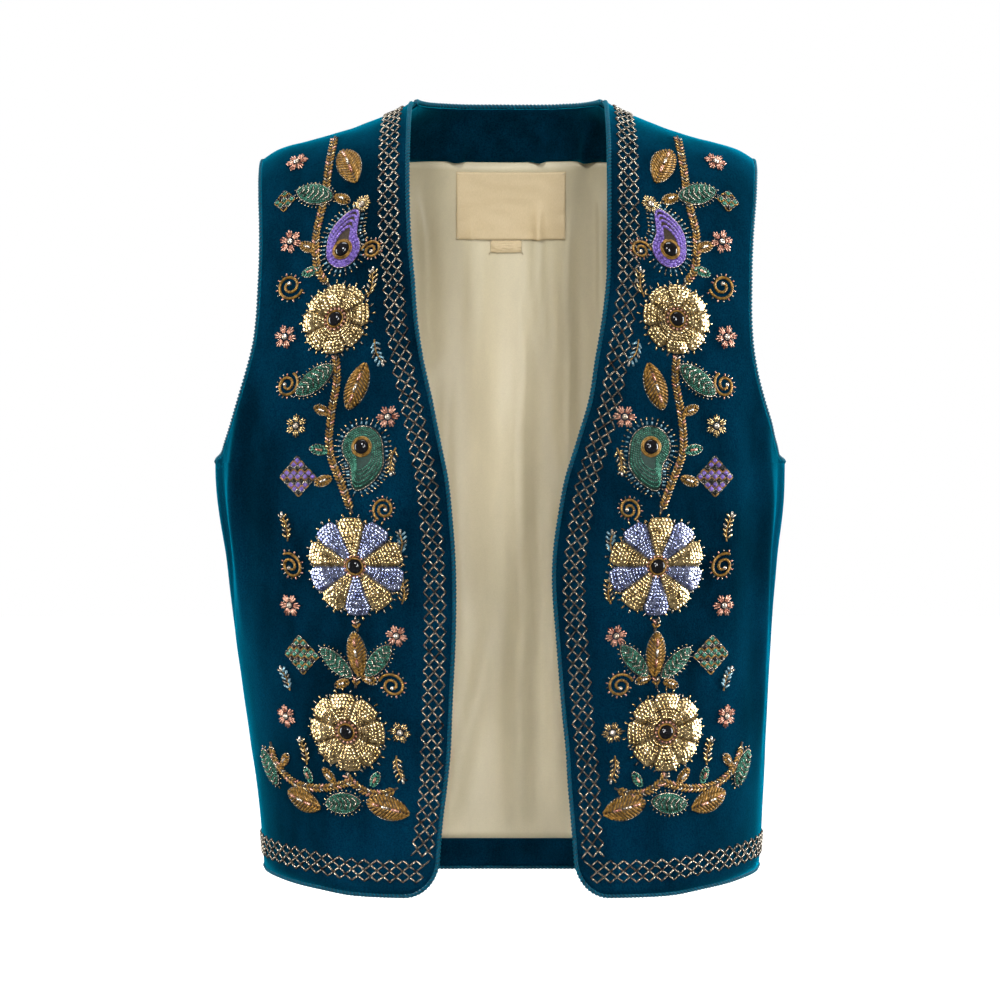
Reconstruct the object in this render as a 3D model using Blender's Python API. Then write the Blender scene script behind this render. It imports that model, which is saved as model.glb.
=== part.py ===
"""A sleeveless velvet waistcoat, filled out as if worn, open down the front, with thick appliques on both fronts.

Metres, +Z up, the front faces -Y. The origin is midway between the two shoulder seams, at the height of their
middles, where the wearer's shoulders hold the garment up. "Left" and "right" are as seen from the front: left is -X.

The cloth follows one smooth form. A point of the form is named by its face (FRONT or BACK), its angle round the
body (0 at the middle of that face, 90 at the side seam, negative on the left) and its rise (0 at the hem, 1 at the
armpit, 2 at the shoulder seam). A depth is measured inwards from the form along its normal, so the layers of cloth
have positive depths and what is sewn onto the velvet has negative ones.
"""

import math
from collections import namedtuple
from functools import lru_cache

import bmesh
import bpy
import numpy as np
from mathutils import Vector

FRONT, BACK = -1, 1
LEFT, RIGHT = -1, 1
SIDE_NAMES = {LEFT: "left", RIGHT: "right"}

# Cloth
VELVET = 0.0020
LINING = 0.0010
FACING = 0.0016
LABEL = 0.0010
GAP = 0.0003
PIPING_RADIUS = 0.0014

# Heights of the form
ARMPIT = -0.2430
HEM_FACING_TOP = -0.5235
HEM_CORNER_RADIUS = 0.027

# Roundness of the horizontal sections and of the arch over the shoulders: 2 is an ellipse, more is squarer
SECTION_POWER = 2.4
ARCH_POWER = 2.5

Section = namedtuple("Section", "height half_width centre front_depth back_depth")
SECTIONS = [
    Section(-0.560, 0.1780, 0.0040, 0.1060, 0.0990),
    Section(-0.520, 0.1808, 0.0040, 0.1065, 0.0985),
    Section(-0.480, 0.1836, 0.0030, 0.1070, 0.0970),
    Section(-0.430, 0.1882, 0.0006, 0.1075, 0.0950),
    Section(-0.370, 0.1943, -0.0018, 0.1085, 0.0940),
    Section(-0.310, 0.2005, -0.0030, 0.1105, 0.0960),
    Section(-0.270, 0.2060, -0.0038, 0.1120, 0.0985),
    Section(-0.240, 0.2072, -0.0044, 0.1120, 0.1000),
    Section(-0.195, 0.2066, -0.0032, 0.1120, 0.1010),
    Section(-0.140, 0.2066, -0.0015, 0.1120, 0.1010),
    Section(-0.080, 0.2066, 0.0002, 0.1120, 0.1000),
    Section(-0.020, 0.2066, 0.0015, 0.1120, 0.1000),
    Section(0.070, 0.2066, 0.0020, 0.1120, 0.1000),
]

FrontEdge = namedtuple("FrontEdge", "height left right")
FRONT_EDGES = [
    FrontEdge(-0.560, 0.0500, 0.0505),
    FrontEdge(-0.515, 0.0458, 0.0480),
    FrontEdge(-0.493, 0.0430, 0.0465),
    FrontEdge(-0.465, 0.0403, 0.0452),
    FrontEdge(-0.437, 0.0396, 0.0424),
    FrontEdge(-0.381, 0.0377, 0.0380),
    FrontEdge(-0.339, 0.0375, 0.0350),
    FrontEdge(-0.311, 0.0384, 0.0357),
    FrontEdge(-0.283, 0.0405, 0.0392),
    FrontEdge(-0.255, 0.0434, 0.0441),
    FrontEdge(-0.227, 0.0489, 0.0525),
    FrontEdge(-0.199, 0.0545, 0.0608),
    FrontEdge(-0.171, 0.0607, 0.0652),
    FrontEdge(-0.143, 0.0650, 0.0700),
    FrontEdge(-0.115, 0.0671, 0.0733),
    FrontEdge(-0.087, 0.0697, 0.0740),
    FrontEdge(-0.050, 0.0712, 0.0745),
    FrontEdge(-0.010, 0.0715, 0.0745),
    FrontEdge(0.010, 0.0712, 0.0740),
    FrontEdge(0.022, 0.0700, 0.0730),
]

# Half the width between the armholes, the same on both sides of the centre line
Armhole = namedtuple("Armhole", "height half_width")
ARMHOLE = [
    Armhole(-0.2430, 0.2066),
    Armhole(-0.2385, 0.2030),
    Armhole(-0.2300, 0.1982),
    Armhole(-0.2200, 0.1938),
    Armhole(-0.2080, 0.1893),
    Armhole(-0.1940, 0.1850),
    Armhole(-0.1780, 0.1808),
    Armhole(-0.1580, 0.1770),
    Armhole(-0.1300, 0.1750),
    Armhole(-0.0900, 0.1750),
    Armhole(-0.0500, 0.1775),
    Armhole(-0.0300, 0.1785),
    Armhole(-0.0150, 0.1785),
]
BACK_ARMHOLE_EXTRA = 0.0010

# The top of the shoulders, by distance from the centre line: the seam runs along it outside the neck
Shoulder = namedtuple("Shoulder", "distance height")
SHOULDERS = [
    Shoulder(0.000, 0.0500),
    Shoulder(0.030, 0.0450),
    Shoulder(0.052, 0.0335),
    Shoulder(0.070, 0.0205),
    Shoulder(0.081, 0.0135),
    Shoulder(0.092, 0.0090),
    Shoulder(0.103, 0.0045),
    Shoulder(0.114, 0.0005),
    Shoulder(0.125, -0.0028),
    Shoulder(0.146, -0.0085),
    Shoulder(0.166, -0.0140),
    Shoulder(0.176, -0.0195),
    Shoulder(0.190, -0.0300),
]
BACK_NECK_HEIGHT = 0.0215
NECK_HALF_WIDTH = 0.0705

# The lower edge of the back neck facing: level between the neck points, then falling toward the armholes
Yoke = namedtuple("Yoke", "distance height")
YOKE = [
    Yoke(0.000, -0.0164),
    Yoke(0.075, -0.0172),
    Yoke(0.110, -0.0260),
    Yoke(0.145, -0.0410),
    Yoke(0.180, -0.0560),
]

Hem = namedtuple("Hem", "angle front_height back_height")
HEMS = [
    Hem(0, -0.5465, -0.5440),
    Hem(26, -0.5470, -0.5438),
    Hem(37, -0.5462, -0.5430),
    Hem(46, -0.5427, -0.5415),
    Hem(57, -0.5392, -0.5392),
    Hem(66, -0.5364, -0.5366),
    Hem(80, -0.5337, -0.5338),
    Hem(90, -0.5325, -0.5325),
]

# Soft folds of the velvet, as ridges (or valleys, below zero) between two points of the form
Fold = namedtuple("Fold", "face side top_angle top bottom_angle bottom half_width height")
FOLDS = [
    Fold(FRONT, LEFT, 57, -0.195, 66, -0.330, 0.011, 0.0050),
    Fold(FRONT, LEFT, 72, -0.250, 78, -0.330, 0.012, -0.0040),
    Fold(FRONT, RIGHT, 60, -0.205, 70, -0.440, 0.011, 0.0050),
    Fold(FRONT, RIGHT, 74, -0.250, 79, -0.350, 0.012, -0.0040),
    Fold(FRONT, RIGHT, 48, -0.190, 50, -0.370, 0.013, 0.0025),
    Fold(FRONT, LEFT, 45, -0.170, 52, -0.300, 0.014, 0.0020),
    Fold(BACK, LEFT, 50, -0.200, 46, -0.400, 0.016, 0.0045),
    Fold(BACK, RIGHT, 52, -0.190, 48, -0.420, 0.016, 0.0045),
    Fold(BACK, LEFT, 12, -0.330, 16, -0.520, 0.020, 0.0030),
    Fold(BACK, RIGHT, 14, -0.300, 20, -0.510, 0.020, 0.0030),
]

# Between these rises the columns draw in toward the armholes. Only those nearest the side seam follow the armhole's
# edge itself, which turns sharply at the armpit.
DRAW_IN_FROM = 0.40
DRAWN_IN = 1.25
EDGE_POWER = 4

# Columns and rows of the walls. On the back, rows lie along the facings' edges, so that the inner layers share them.
CORNER_COLUMNS = 5
FRONT_COLUMNS = 14
BACK_COLUMNS = 26
NECK_COLUMNS = 6
ARMPIT_ROW = 12
YOKE_ROW = 22
TOP_ROW = 26
ROW_EASE = 1.8


def along(table, field, key, at):
    """A smooth curve through one column of a table, by another column that rises or falls all the way."""
    keys = [getattr(row, key) for row in table]
    values = [getattr(row, field) for row in table]
    if at <= keys[0]:
        return values[0]
    if at >= keys[-1]:
        return values[-1]
    i = next(k for k in range(len(keys) - 1) if at <= keys[k + 1])

    def slope(k):
        low, high = max(k - 1, 0), min(k + 1, len(keys) - 1)
        return (values[high] - values[low]) / (keys[high] - keys[low])

    span = keys[i + 1] - keys[i]
    t = (at - keys[i]) / span
    blend = t * t * (3 - 2 * t)
    ends = values[i] * (1 - blend) + values[i + 1] * blend
    return ends + span * (slope(i) * t * (1 - t) ** 2 - slope(i + 1) * t * t * (1 - t))


def smooth(t):
    t = max(0.0, min(1.0, t))
    return t * t * (3 - 2 * t)


def superellipse(angle, power):
    """(sine, cosine) of a rounded square's outline, by its polar angle in radians."""
    s, c = math.sin(angle), math.cos(angle)
    size = (abs(s) ** power + abs(c) ** power) ** (1 / power)
    return s / size, c / size


def angle_of(share, power):
    """The polar angle, in radians, at which the superellipse's sine is share."""
    share = max(-1.0, min(1.0, share))
    return math.atan2(share, (1 - abs(share) ** power) ** (1 / power))


@lru_cache(maxsize=None)
def section(height):
    return Section(height, *(along(SECTIONS, f, "height", height) for f in Section._fields[1:]))


WIDEST = section(ARMPIT).half_width


def hem_height(face, angle):
    field = "front_height" if face == FRONT else "back_height"
    return along(HEMS, field, "angle", abs(math.degrees(angle)))


def ridge_height(angle):
    """The height of the shoulders' top at an angle."""
    sine, _ = superellipse(angle, SECTION_POWER)
    return along(SHOULDERS, "height", "distance", abs(WIDEST * sine))


def corner_lift(distance):
    """How far the rounded front corner lifts the hem, by the distance from the front edge."""
    inward = HEM_CORNER_RADIUS - min(max(distance, 0.0), HEM_CORNER_RADIUS)
    return HEM_CORNER_RADIUS - math.sqrt(HEM_CORNER_RADIUS**2 - inward**2)


def form_point(face, angle, rise, corner=0.0):
    """A point of the bare form, with no folds. corner lifts the hem there."""
    pull = 1.0
    if rise <= 1:
        hem = hem_height(face, angle) + corner
        height = hem + rise * (ARMPIT - hem)
    else:
        lift, pull = superellipse((rise - 1) * math.pi / 2, ARCH_POWER)
        height = ARMPIT + (ridge_height(angle) - ARMPIT) * lift
    here = section(height)
    sine, cosine = superellipse(angle, SECTION_POWER)
    depth = here.front_depth if face == FRONT else here.back_depth
    return Vector((here.centre + here.half_width * sine, face * (GAP / 2 + depth * cosine * pull), height))


@lru_cache(maxsize=None)
def form_normal(face, angle, rise, corner=0.0):
    """The form's outward normal."""
    step = 0.002
    across = form_point(face, angle + step, rise, corner) - form_point(face, angle - step, rise, corner)
    up = form_point(face, angle, rise + step, corner) - form_point(face, angle, rise - step, corner)
    return (across.cross(up) * -face).normalized()


def fold_relief(face, angle, height):
    """How far the folds lift the cloth off the bare form. They end before the side seam."""
    total = 0.0
    arc_per_degree = 0.0030
    for fold in FOLDS:
        if fold.face != face or fold.side * angle < 0:
            continue
        reach = 0.04 / (fold.top - fold.bottom)
        t = (fold.top - height) / (fold.top - fold.bottom)
        if not -reach < t < 1 + reach:
            continue
        fade = math.sin(math.pi * (t + reach) / (1 + 2 * reach))
        middle = fold.top_angle + (fold.bottom_angle - fold.top_angle) * t
        away = (abs(math.degrees(angle)) - middle) * arc_per_degree
        total += fold.height * fade * math.exp(-((away / fold.half_width) ** 2))
    return total * smooth((90 - abs(math.degrees(angle))) / 8)


def cloth_point(face, angle, rise, corner, depth):
    """A point of the worn cloth, depth metres inside its outer face."""
    base = form_point(face, angle, rise, corner)
    relief = fold_relief(face, angle, base.z)
    return base + form_normal(face, angle, rise, corner) * (relief - depth)


def edge_angle(table, field, face, side, rise, extra=0.0):
    """The angle at which an edge, given as distances from the centre line by height, crosses a rise."""
    angle = side * math.pi / 4
    for _ in range(14):
        point = form_point(face, angle, rise)
        distance = along(table, field, "height", point.z) + extra
        here = section(point.z)
        angle = angle_of((side * distance - here.centre) / here.half_width, SECTION_POWER)
    return angle


@lru_cache(maxsize=None)
def front_edge_angle(side, rise):
    return edge_angle(FRONT_EDGES, SIDE_NAMES[side], FRONT, side, rise)


@lru_cache(maxsize=None)
def armhole_angle(face, side, rise):
    """The angle of the armhole's edge at a rise, or of the side seam below the armpit."""
    if rise <= 1:
        return side * math.pi / 2
    extra = BACK_ARMHOLE_EXTRA * math.sin(math.pi * (rise - 1)) if face == BACK else 0.0
    reach, _ = superellipse((rise - 1) * math.pi / 2, ARCH_POWER)
    tip = ridge_height(angle_of(ARMHOLE[-1].half_width / WIDEST, SECTION_POWER))
    height = ARMPIT + (tip - ARMPIT) * reach
    distance = along(ARMHOLE, "half_width", "height", height) + extra
    return side * angle_of(distance / WIDEST, SECTION_POWER)


def outward_angle(face, side, start, share, rise):
    """The angle at a share of the way from start to the armhole or the side seam."""
    edge = armhole_angle(face, side, rise)
    guide = edge
    if rise < DRAWN_IN:
        turned = smooth((rise - DRAW_IN_FROM) / (DRAWN_IN - DRAW_IN_FROM))
        guide = side * math.pi / 2
        guide += (armhole_angle(face, side, DRAWN_IN) - guide) * turned
    return start + (guide - start) * share + (edge - guide) * share**EDGE_POWER


# Each cell of a wall is split into triangles from its near corner to its far one, but before turn_column the other way
Panel = namedtuple("Panel", "face place columns turn_column")


@lru_cache(maxsize=None)
def front_place(side, column, row):
    """(angle, rise, corner lift) of a place on a front. Column 0 is the front edge, the last the side seam."""
    if row <= ARMPIT_ROW:
        rise = row / ARMPIT_ROW
    else:
        rise = 1 + ((row - ARMPIT_ROW) / (TOP_ROW - ARMPIT_ROW)) ** ROW_EASE
    edge, _ = superellipse(front_edge_angle(side, rise), SECTION_POWER)
    turned = min(column / CORNER_COLUMNS, 1) * math.pi / 2
    distance = HEM_CORNER_RADIUS * (1 - math.cos(turned))
    angle = angle_of(edge + side * distance / WIDEST, SECTION_POWER)
    share = max(0.0, (column - CORNER_COLUMNS) / (FRONT_COLUMNS - CORNER_COLUMNS))
    if share > 0:
        angle = outward_angle(FRONT, side, angle, share, rise)
    return angle, rise, corner_lift(distance)


@lru_cache(maxsize=None)
def back_angle(column, rise):
    """The angle of a column of the back: spread evenly at the hem, and gathered to the neck's curve at the top."""
    across = 2 * column / BACK_COLUMNS - 1
    neck = angle_of(NECK_HALF_WIDTH / WIDEST, SECTION_POWER)
    share = 2 * NECK_COLUMNS / BACK_COLUMNS
    even = outward_angle(BACK, RIGHT, 0.0, abs(across), rise)
    if abs(across) <= share:
        gathered = neck * math.sin(math.pi / 2 * abs(across) / share)
    else:
        gathered = outward_angle(BACK, RIGHT, neck, (abs(across) - share) / (1 - share), rise)
    angle = even + (gathered - even) * smooth((rise - 0.3) / 1.1)
    return math.copysign(angle, across)


@lru_cache(maxsize=None)
def back_rise(column, height_at):
    """The rise, above the armpit, at which a column of the back reaches the height that height_at gives."""
    rise = 1.5
    for _ in range(8):
        ridge = ridge_height(back_angle(column, rise))
        distance = abs(form_point(BACK, back_angle(column, rise), rise).x)
        lift = min(1.0, (height_at(distance) - ARMPIT) / (ridge - ARMPIT))
        rise = 1 + angle_of(lift, ARCH_POWER) / (math.pi / 2)
    return rise


def yoke_height(distance):
    return along(YOKE, "height", "distance", distance)


def neck_height(distance):
    return BACK_NECK_HEIGHT


@lru_cache(maxsize=None)
def back_place(column, row):
    """(angle, rise, corner lift) of a place on the back. Column 0 is the left side seam."""
    hem = hem_height(BACK, back_angle(column, 0.0))
    facing = (HEM_FACING_TOP - hem) / (ARMPIT - hem)
    yoke = back_rise(column, yoke_height)
    beside_neck = abs(column - BACK_COLUMNS / 2) >= NECK_COLUMNS
    top = 2.0 if beside_neck else back_rise(column, neck_height)
    if row <= 1:
        rise = facing * row
    elif row <= ARMPIT_ROW:
        rise = facing + (1 - facing) * (row - 1) / (ARMPIT_ROW - 1)
    elif row <= YOKE_ROW:
        rise = 1 + (yoke - 1) * ((row - ARMPIT_ROW) / (YOKE_ROW - ARMPIT_ROW)) ** ROW_EASE
    else:
        rise = yoke + (top - yoke) * (row - YOKE_ROW) / (TOP_ROW - YOKE_ROW)
    return back_angle(column, rise), rise, 0.0


FRONTS = {
    side: Panel(FRONT, lambda column, row, side=side: front_place(side, column, row), FRONT_COLUMNS, 0)
    for side in (LEFT, RIGHT)
}
REAR = Panel(BACK, back_place, BACK_COLUMNS, BACK_COLUMNS // 2)


@lru_cache(maxsize=None)
def panel_corner(panel, column, row, depth):
    return cloth_point(panel.face, *panel.place(column, row), depth)


def between_rows(panel, column, row, depth):
    """A point on a column of the panel as it is built, straight between its whole rows."""
    low = min(int(row), TOP_ROW - 1)
    return panel_corner(panel, column, low, depth).lerp(panel_corner(panel, column, low + 1, depth), row - low)


def cell_halves(c, r, turned):
    """The two triangles of a cell, as corners (column, row) that run the same way round."""
    near, side, up, far = (c, r), (c + 1, r), (c, r + 1), (c + 1, r + 1)
    return ((near, side, up), (side, far, up)) if turned else ((near, side, far), (near, far, up))


@lru_cache(maxsize=None)
def panel_triangles(panel):
    """The corners (column, row) of the panel's triangles, and their (angle, rise) as an array."""
    corners = []
    for r in range(TOP_ROW):
        for c in range(panel.columns):
            corners.extend(cell_halves(c, r, c < panel.turn_column))
    return corners, np.array([[panel.place(c, r)[:2] for c, r in triangle] for triangle in corners])


def on_panel(panel, angle, rise, depth):
    """A point of the panel as it is built, in the flat triangle that holds this angle and rise."""
    corners, flat = panel_triangles(panel)
    a, ab, ac = flat[:, 0], flat[:, 1] - flat[:, 0], flat[:, 2] - flat[:, 0]
    ap = np.array((angle, rise)) - a
    area = ab[:, 0] * ac[:, 1] - ab[:, 1] * ac[:, 0]
    to_b = (ap[:, 0] * ac[:, 1] - ap[:, 1] * ac[:, 0]) / area
    to_c = (ab[:, 0] * ap[:, 1] - ab[:, 1] * ap[:, 0]) / area
    weights = np.stack((1 - to_b - to_c, to_b, to_c), axis=1)
    best = int(np.argmax(weights.min(axis=1)))
    points = [panel_corner(panel, c, r, depth) for c, r in corners[best]]
    return sum((point * float(w) for point, w in zip(points, weights[best])), Vector())


def spot(face, x, height):
    """(angle, rise) of the form's point at a place seen from the front."""
    here = section(height)
    angle = angle_of((x - here.centre) / here.half_width, SECTION_POWER)
    if height <= ARMPIT:
        hem = hem_height(face, angle)
        return angle, (height - hem) / (ARMPIT - hem)
    lift = (height - ARMPIT) / (ridge_height(angle) - ARMPIT)
    return angle, 1 + angle_of(lift, ARCH_POWER) / (math.pi / 2)


def local_frame(panel, side, distance, height, turn):
    """Maps (u, v), metres along the cloth, to the panel's (angle, rise). With no turn u points away from the centre line
    and v up, so that the two sides are mirrored. A turn, in degrees, takes u toward v."""
    angle, rise = spot(panel.face, side * distance, height)
    step = 0.01
    across = (form_point(panel.face, angle + step, rise) - form_point(panel.face, angle - step, rise)).length
    up = (form_point(panel.face, angle, rise + step) - form_point(panel.face, angle, rise - step)).length
    cosine, sine = math.cos(math.radians(turn)), math.sin(math.radians(turn))

    def at(u, v):
        along_x, along_z = side * (u * cosine - v * sine), u * sine + v * cosine
        return angle + along_x * 2 * step / across, rise + along_z * 2 * step / up

    return at


def new_object(name, bm, material):
    bmesh.ops.recalc_face_normals(bm, faces=bm.faces[:])
    mesh = bpy.data.meshes.new(name)
    bm.to_mesh(mesh)
    bm.free()
    mesh.materials.append(material)
    collection.objects.link(bpy.data.objects.new(name, mesh))


def quad(bm, a, b, c, d):
    bm.faces.new((a, b, c))
    bm.faces.new((a, c, d))


def sheet(name, outer, inner, material, turn_column=0):
    """A closed wall between two grids of points, each a list of rows."""
    bm = bmesh.new()
    front = [[bm.verts.new(p) for p in row] for row in outer]
    back = [[bm.verts.new(p) for p in row] for row in inner]
    last_row, last = len(front) - 1, len(front[0]) - 1
    for layer, turned in ((front, False), (back, True)):
        for r in range(last_row):
            for c in range(last):
                for half in cell_halves(c, r, c < turn_column):
                    corners = [layer[row][column] for column, row in half]
                    bm.faces.new(corners[::-1] if turned else corners)
    for c in range(last):
        quad(bm, front[0][c + 1], front[0][c], back[0][c], back[0][c + 1])
        quad(bm, front[last_row][c], front[last_row][c + 1], back[last_row][c + 1], back[last_row][c])
    for r in range(last_row):
        quad(bm, front[r][0], front[r + 1][0], back[r + 1][0], back[r][0])
        quad(bm, front[r + 1][last], front[r][last], back[r][last], back[r + 1][last])
    new_object(name, bm, material)


def seam_shift(panel, column, row, direction):
    """A row moved off a seam line by a little over half the gap between two pieces."""
    spacing = (panel_corner(panel, column, row + direction, 0.0) - panel_corner(panel, column, row, 0.0)).length
    return row + direction * 0.6 * GAP / spacing


def layer(name, panel, first_row, last_row, outer, inner, material):
    """A wall over whole rows of a panel. Where it ends on a seam line within the panel, it stops short of it."""

    def row_at(column, row):
        if row == first_row and first_row > 0:
            return seam_shift(panel, column, row, 1)
        if row == last_row and last_row < TOP_ROW:
            return seam_shift(panel, column, row, -1)
        return row

    def grid(depth):
        return [
            [between_rows(panel, column, row_at(column, row), depth) for column in range(panel.columns + 1)]
            for row in range(first_row, last_row + 1)
        ]

    sheet(name, grid(outer), grid(inner), material, panel.turn_column)


def patch(name, panel, x, top, width, height, columns, rows, outer, inner, material):
    """A rectangle of cloth sewn onto the inside of a panel, centred at x, hanging from the height top."""

    def grid(depth):
        points = []
        for r in range(rows + 1):
            z = top - height * (1 - r / rows)
            spots = [spot(panel.face, x + width * (c / columns - 0.5), z) for c in range(columns + 1)]
            points.append([on_panel(panel, *place, depth) for place in spots])
        return points

    sheet(name, grid(outer), grid(inner), material)


def cord(name, places, material, closed=False):
    """A round cord just outside a panel's edge. Going along it, the cloth is on the left.

    places are (panel, column, row). An open cord ends square at a seam in the plane y = 0."""
    depth = VELVET / 2
    points = [panel_corner(panel, column, row, depth) for panel, column, row in places]
    normals = [form_normal(panel.face, *panel.place(column, row)) for panel, column, row in places]
    count, sides = len(points), 7
    bm = bmesh.new()
    rings = []
    for i, (point, normal) in enumerate(zip(points, normals)):
        before = points[i - 1] if closed else points[max(i - 1, 0)]
        after = points[(i + 1) % count] if closed else points[min(i + 1, count - 1)]
        tangent = (after - before).normalized()
        if not closed and i in (0, count - 1):
            tangent = Vector((0.0, math.copysign(1.0, tangent.y), 0.0))
        out = tangent.cross(normal).normalized()
        up = out.cross(tangent)
        centre = point + out * (PIPING_RADIUS + 1.4 * GAP)
        turns = [2 * math.pi * k / sides for k in range(sides)]
        ring = [centre + (up * math.cos(turn) + out * math.sin(turn)) * PIPING_RADIUS for turn in turns]
        rings.append([bm.verts.new(p) for p in ring])
    for i in range(count if closed else count - 1):
        ring, following = rings[i], rings[(i + 1) % count]
        for k in range(sides):
            j = (k + 1) % sides
            quad(bm, ring[k], ring[j], following[j], following[k])
    if not closed:
        bm.faces.new(rings[0])
        bm.faces.new(rings[-1])
    new_object(name, bm, material)


def applique(name, panel, at, outline, profile, base, material):
    """A padded shape on a panel. at maps (u, v) to (angle, rise), outline lists its rim as (u, v) round the origin.

    profile lists (share of the way out to the rim, height) from just outside the middle to the rim, and starts
    with the middle's own height. base is the height of its underside over the velvet."""
    middle_height, rings = profile[0][1], profile[1:]

    def points(under):
        middle = on_panel(panel, *at(0.0, 0.0), -base if under else -base - middle_height)
        around = []
        for share, height in rings:
            depth = -base if under else -base - height
            around.append([on_panel(panel, *at(u * share, v * share), depth) for u, v in outline])
        return middle, around

    bm = bmesh.new()
    rims = []
    for under in (False, True):
        middle, around = points(under)
        centre = bm.verts.new(middle)
        loops = [[bm.verts.new(p) for p in loop] for loop in around]
        count = len(outline)
        for k in range(count):
            j = (k + 1) % count
            bm.faces.new((centre, loops[0][k], loops[0][j]))
            for inner, outer in zip(loops, loops[1:]):
                quad(bm, inner[k], outer[k], outer[j], inner[j])
        rims.append(loops[-1])
    for k in range(len(outline)):
        j = (k + 1) % len(outline)
        quad(bm, rims[0][k], rims[1][k], rims[1][j], rims[0][j])
    new_object(name, bm, material)


def daisy_outline(radius, petals, steps_per_petal=4):
    """A ring of rounded petals."""
    count = petals * steps_per_petal
    points = []
    for k in range(count):
        turn = 2 * math.pi * k / count
        reach = radius * (0.80 + 0.20 * abs(math.cos(petals * turn / 2)) ** 0.7)
        points.append((reach * math.cos(turn), reach * math.sin(turn)))
    return points


def leaf_outline(length, width, steps=10):
    """A leaf with a point at each end, lying along u."""
    points = []
    for k in range(steps):
        turn = 2 * math.pi * k / steps
        s = math.sin(turn)
        points.append((length / 2 * math.cos(turn), width / 2 * s * abs(s) ** 0.4))
    return points


def paisley_outline(radius, steps=16):
    """A drop whose tip, toward +u, bends over to +v."""
    points = []
    for k in range(steps):
        turn = 2 * math.pi * k / steps
        reach = radius * (1 + 1.3 * max(0.0, math.cos(turn)) ** 5)
        u, v = reach * math.cos(turn), reach * math.sin(turn)
        bend = 0.55 * max(0.0, u / radius - 0.4) ** 2 * radius / 2
        points.append((u, v + bend))
    return points


def round_outline(radius, steps=8):
    turns = [2 * math.pi * k / steps for k in range(steps)]
    return [(radius * math.cos(turn), radius * math.sin(turn)) for turn in turns]


def make_material(name, colour, roughness, metallic=0.0):
    material = bpy.data.materials.new(name)
    material.use_nodes = True
    shader = material.node_tree.nodes["Principled BSDF"]
    shader.inputs["Base Color"].default_value = (*colour, 1.0)
    shader.inputs["Roughness"].default_value = roughness
    shader.inputs["Metallic"].default_value = metallic
    return material


for old in list(bpy.data.objects):
    bpy.data.objects.remove(old, do_unlink=True)
collection = bpy.data.collections.new("velvet_waistcoat")
bpy.context.scene.collection.children.link(collection)

velvet = make_material("teal_velvet", (0.002, 0.035, 0.062), 0.8)
corded = make_material("teal_cord", (0.010, 0.110, 0.180), 0.6)
satin = make_material("cream_satin", (0.62, 0.52, 0.35), 0.45)
label_satin = make_material("beige_satin", (0.60, 0.48, 0.32), 0.5)
gold = make_material("gold_sequins", (0.45, 0.30, 0.09), 0.35, 0.6)
lilac = make_material("lilac_sequins", (0.34, 0.30, 0.52), 0.35, 0.3)
bronze = make_material("bronze_thread", (0.16, 0.08, 0.015), 0.5, 0.3)
green = make_material("green_beads", (0.01, 0.11, 0.07), 0.4)
stone = make_material("black_stone", (0.004, 0.004, 0.005), 0.12)

# Appliques: where they lie on a front, by distance from the centre line, and which way they point. Lengths in metres.
Leaf = namedtuple("Leaf", "name distance height turn length width material")
LEAVES = [
    Leaf("leaf_shoulder_inner", 0.1120, -0.0300, 70, 0.034, 0.0150, bronze),
    Leaf("leaf_shoulder_outer", 0.1360, -0.0520, 25, 0.032, 0.0150, green),
    Leaf("leaf_chest_inner", 0.1050, -0.1900, -70, 0.032, 0.0140, bronze),
    Leaf("leaf_chest_outer", 0.1350, -0.1850, -35, 0.034, 0.0150, green),
    Leaf("leaf_waist_inner", 0.0900, -0.3826, 131, 0.030, 0.0120, green),
    Leaf("leaf_waist_middle", 0.1051, -0.3775, 87, 0.030, 0.0120, bronze),
    Leaf("leaf_waist_outer", 0.1196, -0.3842, 43, 0.030, 0.0120, green),
    Leaf("leaf_hem_first", 0.0835, -0.4860, 15, 0.030, 0.0150, bronze),
    Leaf("leaf_hem_second", 0.1150, -0.4835, -10, 0.028, 0.0145, green),
    Leaf("leaf_hem_third", 0.1440, -0.4820, 15, 0.028, 0.0145, bronze),
    Leaf("leaf_hem_fourth", 0.1680, -0.4600, 62, 0.028, 0.0140, green),
]
Daisy = namedtuple("Daisy", "name distance height radius petals material")
DAISIES = [
    Daisy("daisy_chest", 0.1200, -0.1420, 0.0240, 8, gold),
    Daisy("daisy_waist", 0.1060, -0.3160, 0.0340, 10, lilac),
    Daisy("daisy_hem", 0.1120, -0.4330, 0.0270, 8, gold),
]
Paisley = namedtuple("Paisley", "name distance height turn radius material")
PAISLEYS = [
    Paisley("paisley_chest", 0.1150, -0.0930, 80, 0.0125, lilac),
    Paisley("paisley_waist", 0.1010, -0.2320, 250, 0.0145, green),
]

# How an applique's padding rises, as (share of the way to the rim, height)
APPLIQUE_BASE = 0.0006
LEAF_PROFILE = ((0.0, 0.0022), (0.5, 0.0019), (1.0, 0.0007))
DAISY_PROFILE = ((0.0, 0.0009), (0.30, 0.0009), (0.68, 0.0026), (1.0, 0.0008))
PAISLEY_PROFILE = ((0.0, 0.0018), (0.48, 0.0018), (0.76, 0.0014), (1.0, 0.0007))
STONE_PROFILE = ((0.0, 0.0034), (0.65, 0.0027), (1.0, 0.0006))
STONE_RADIUS = 0.0052

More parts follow.
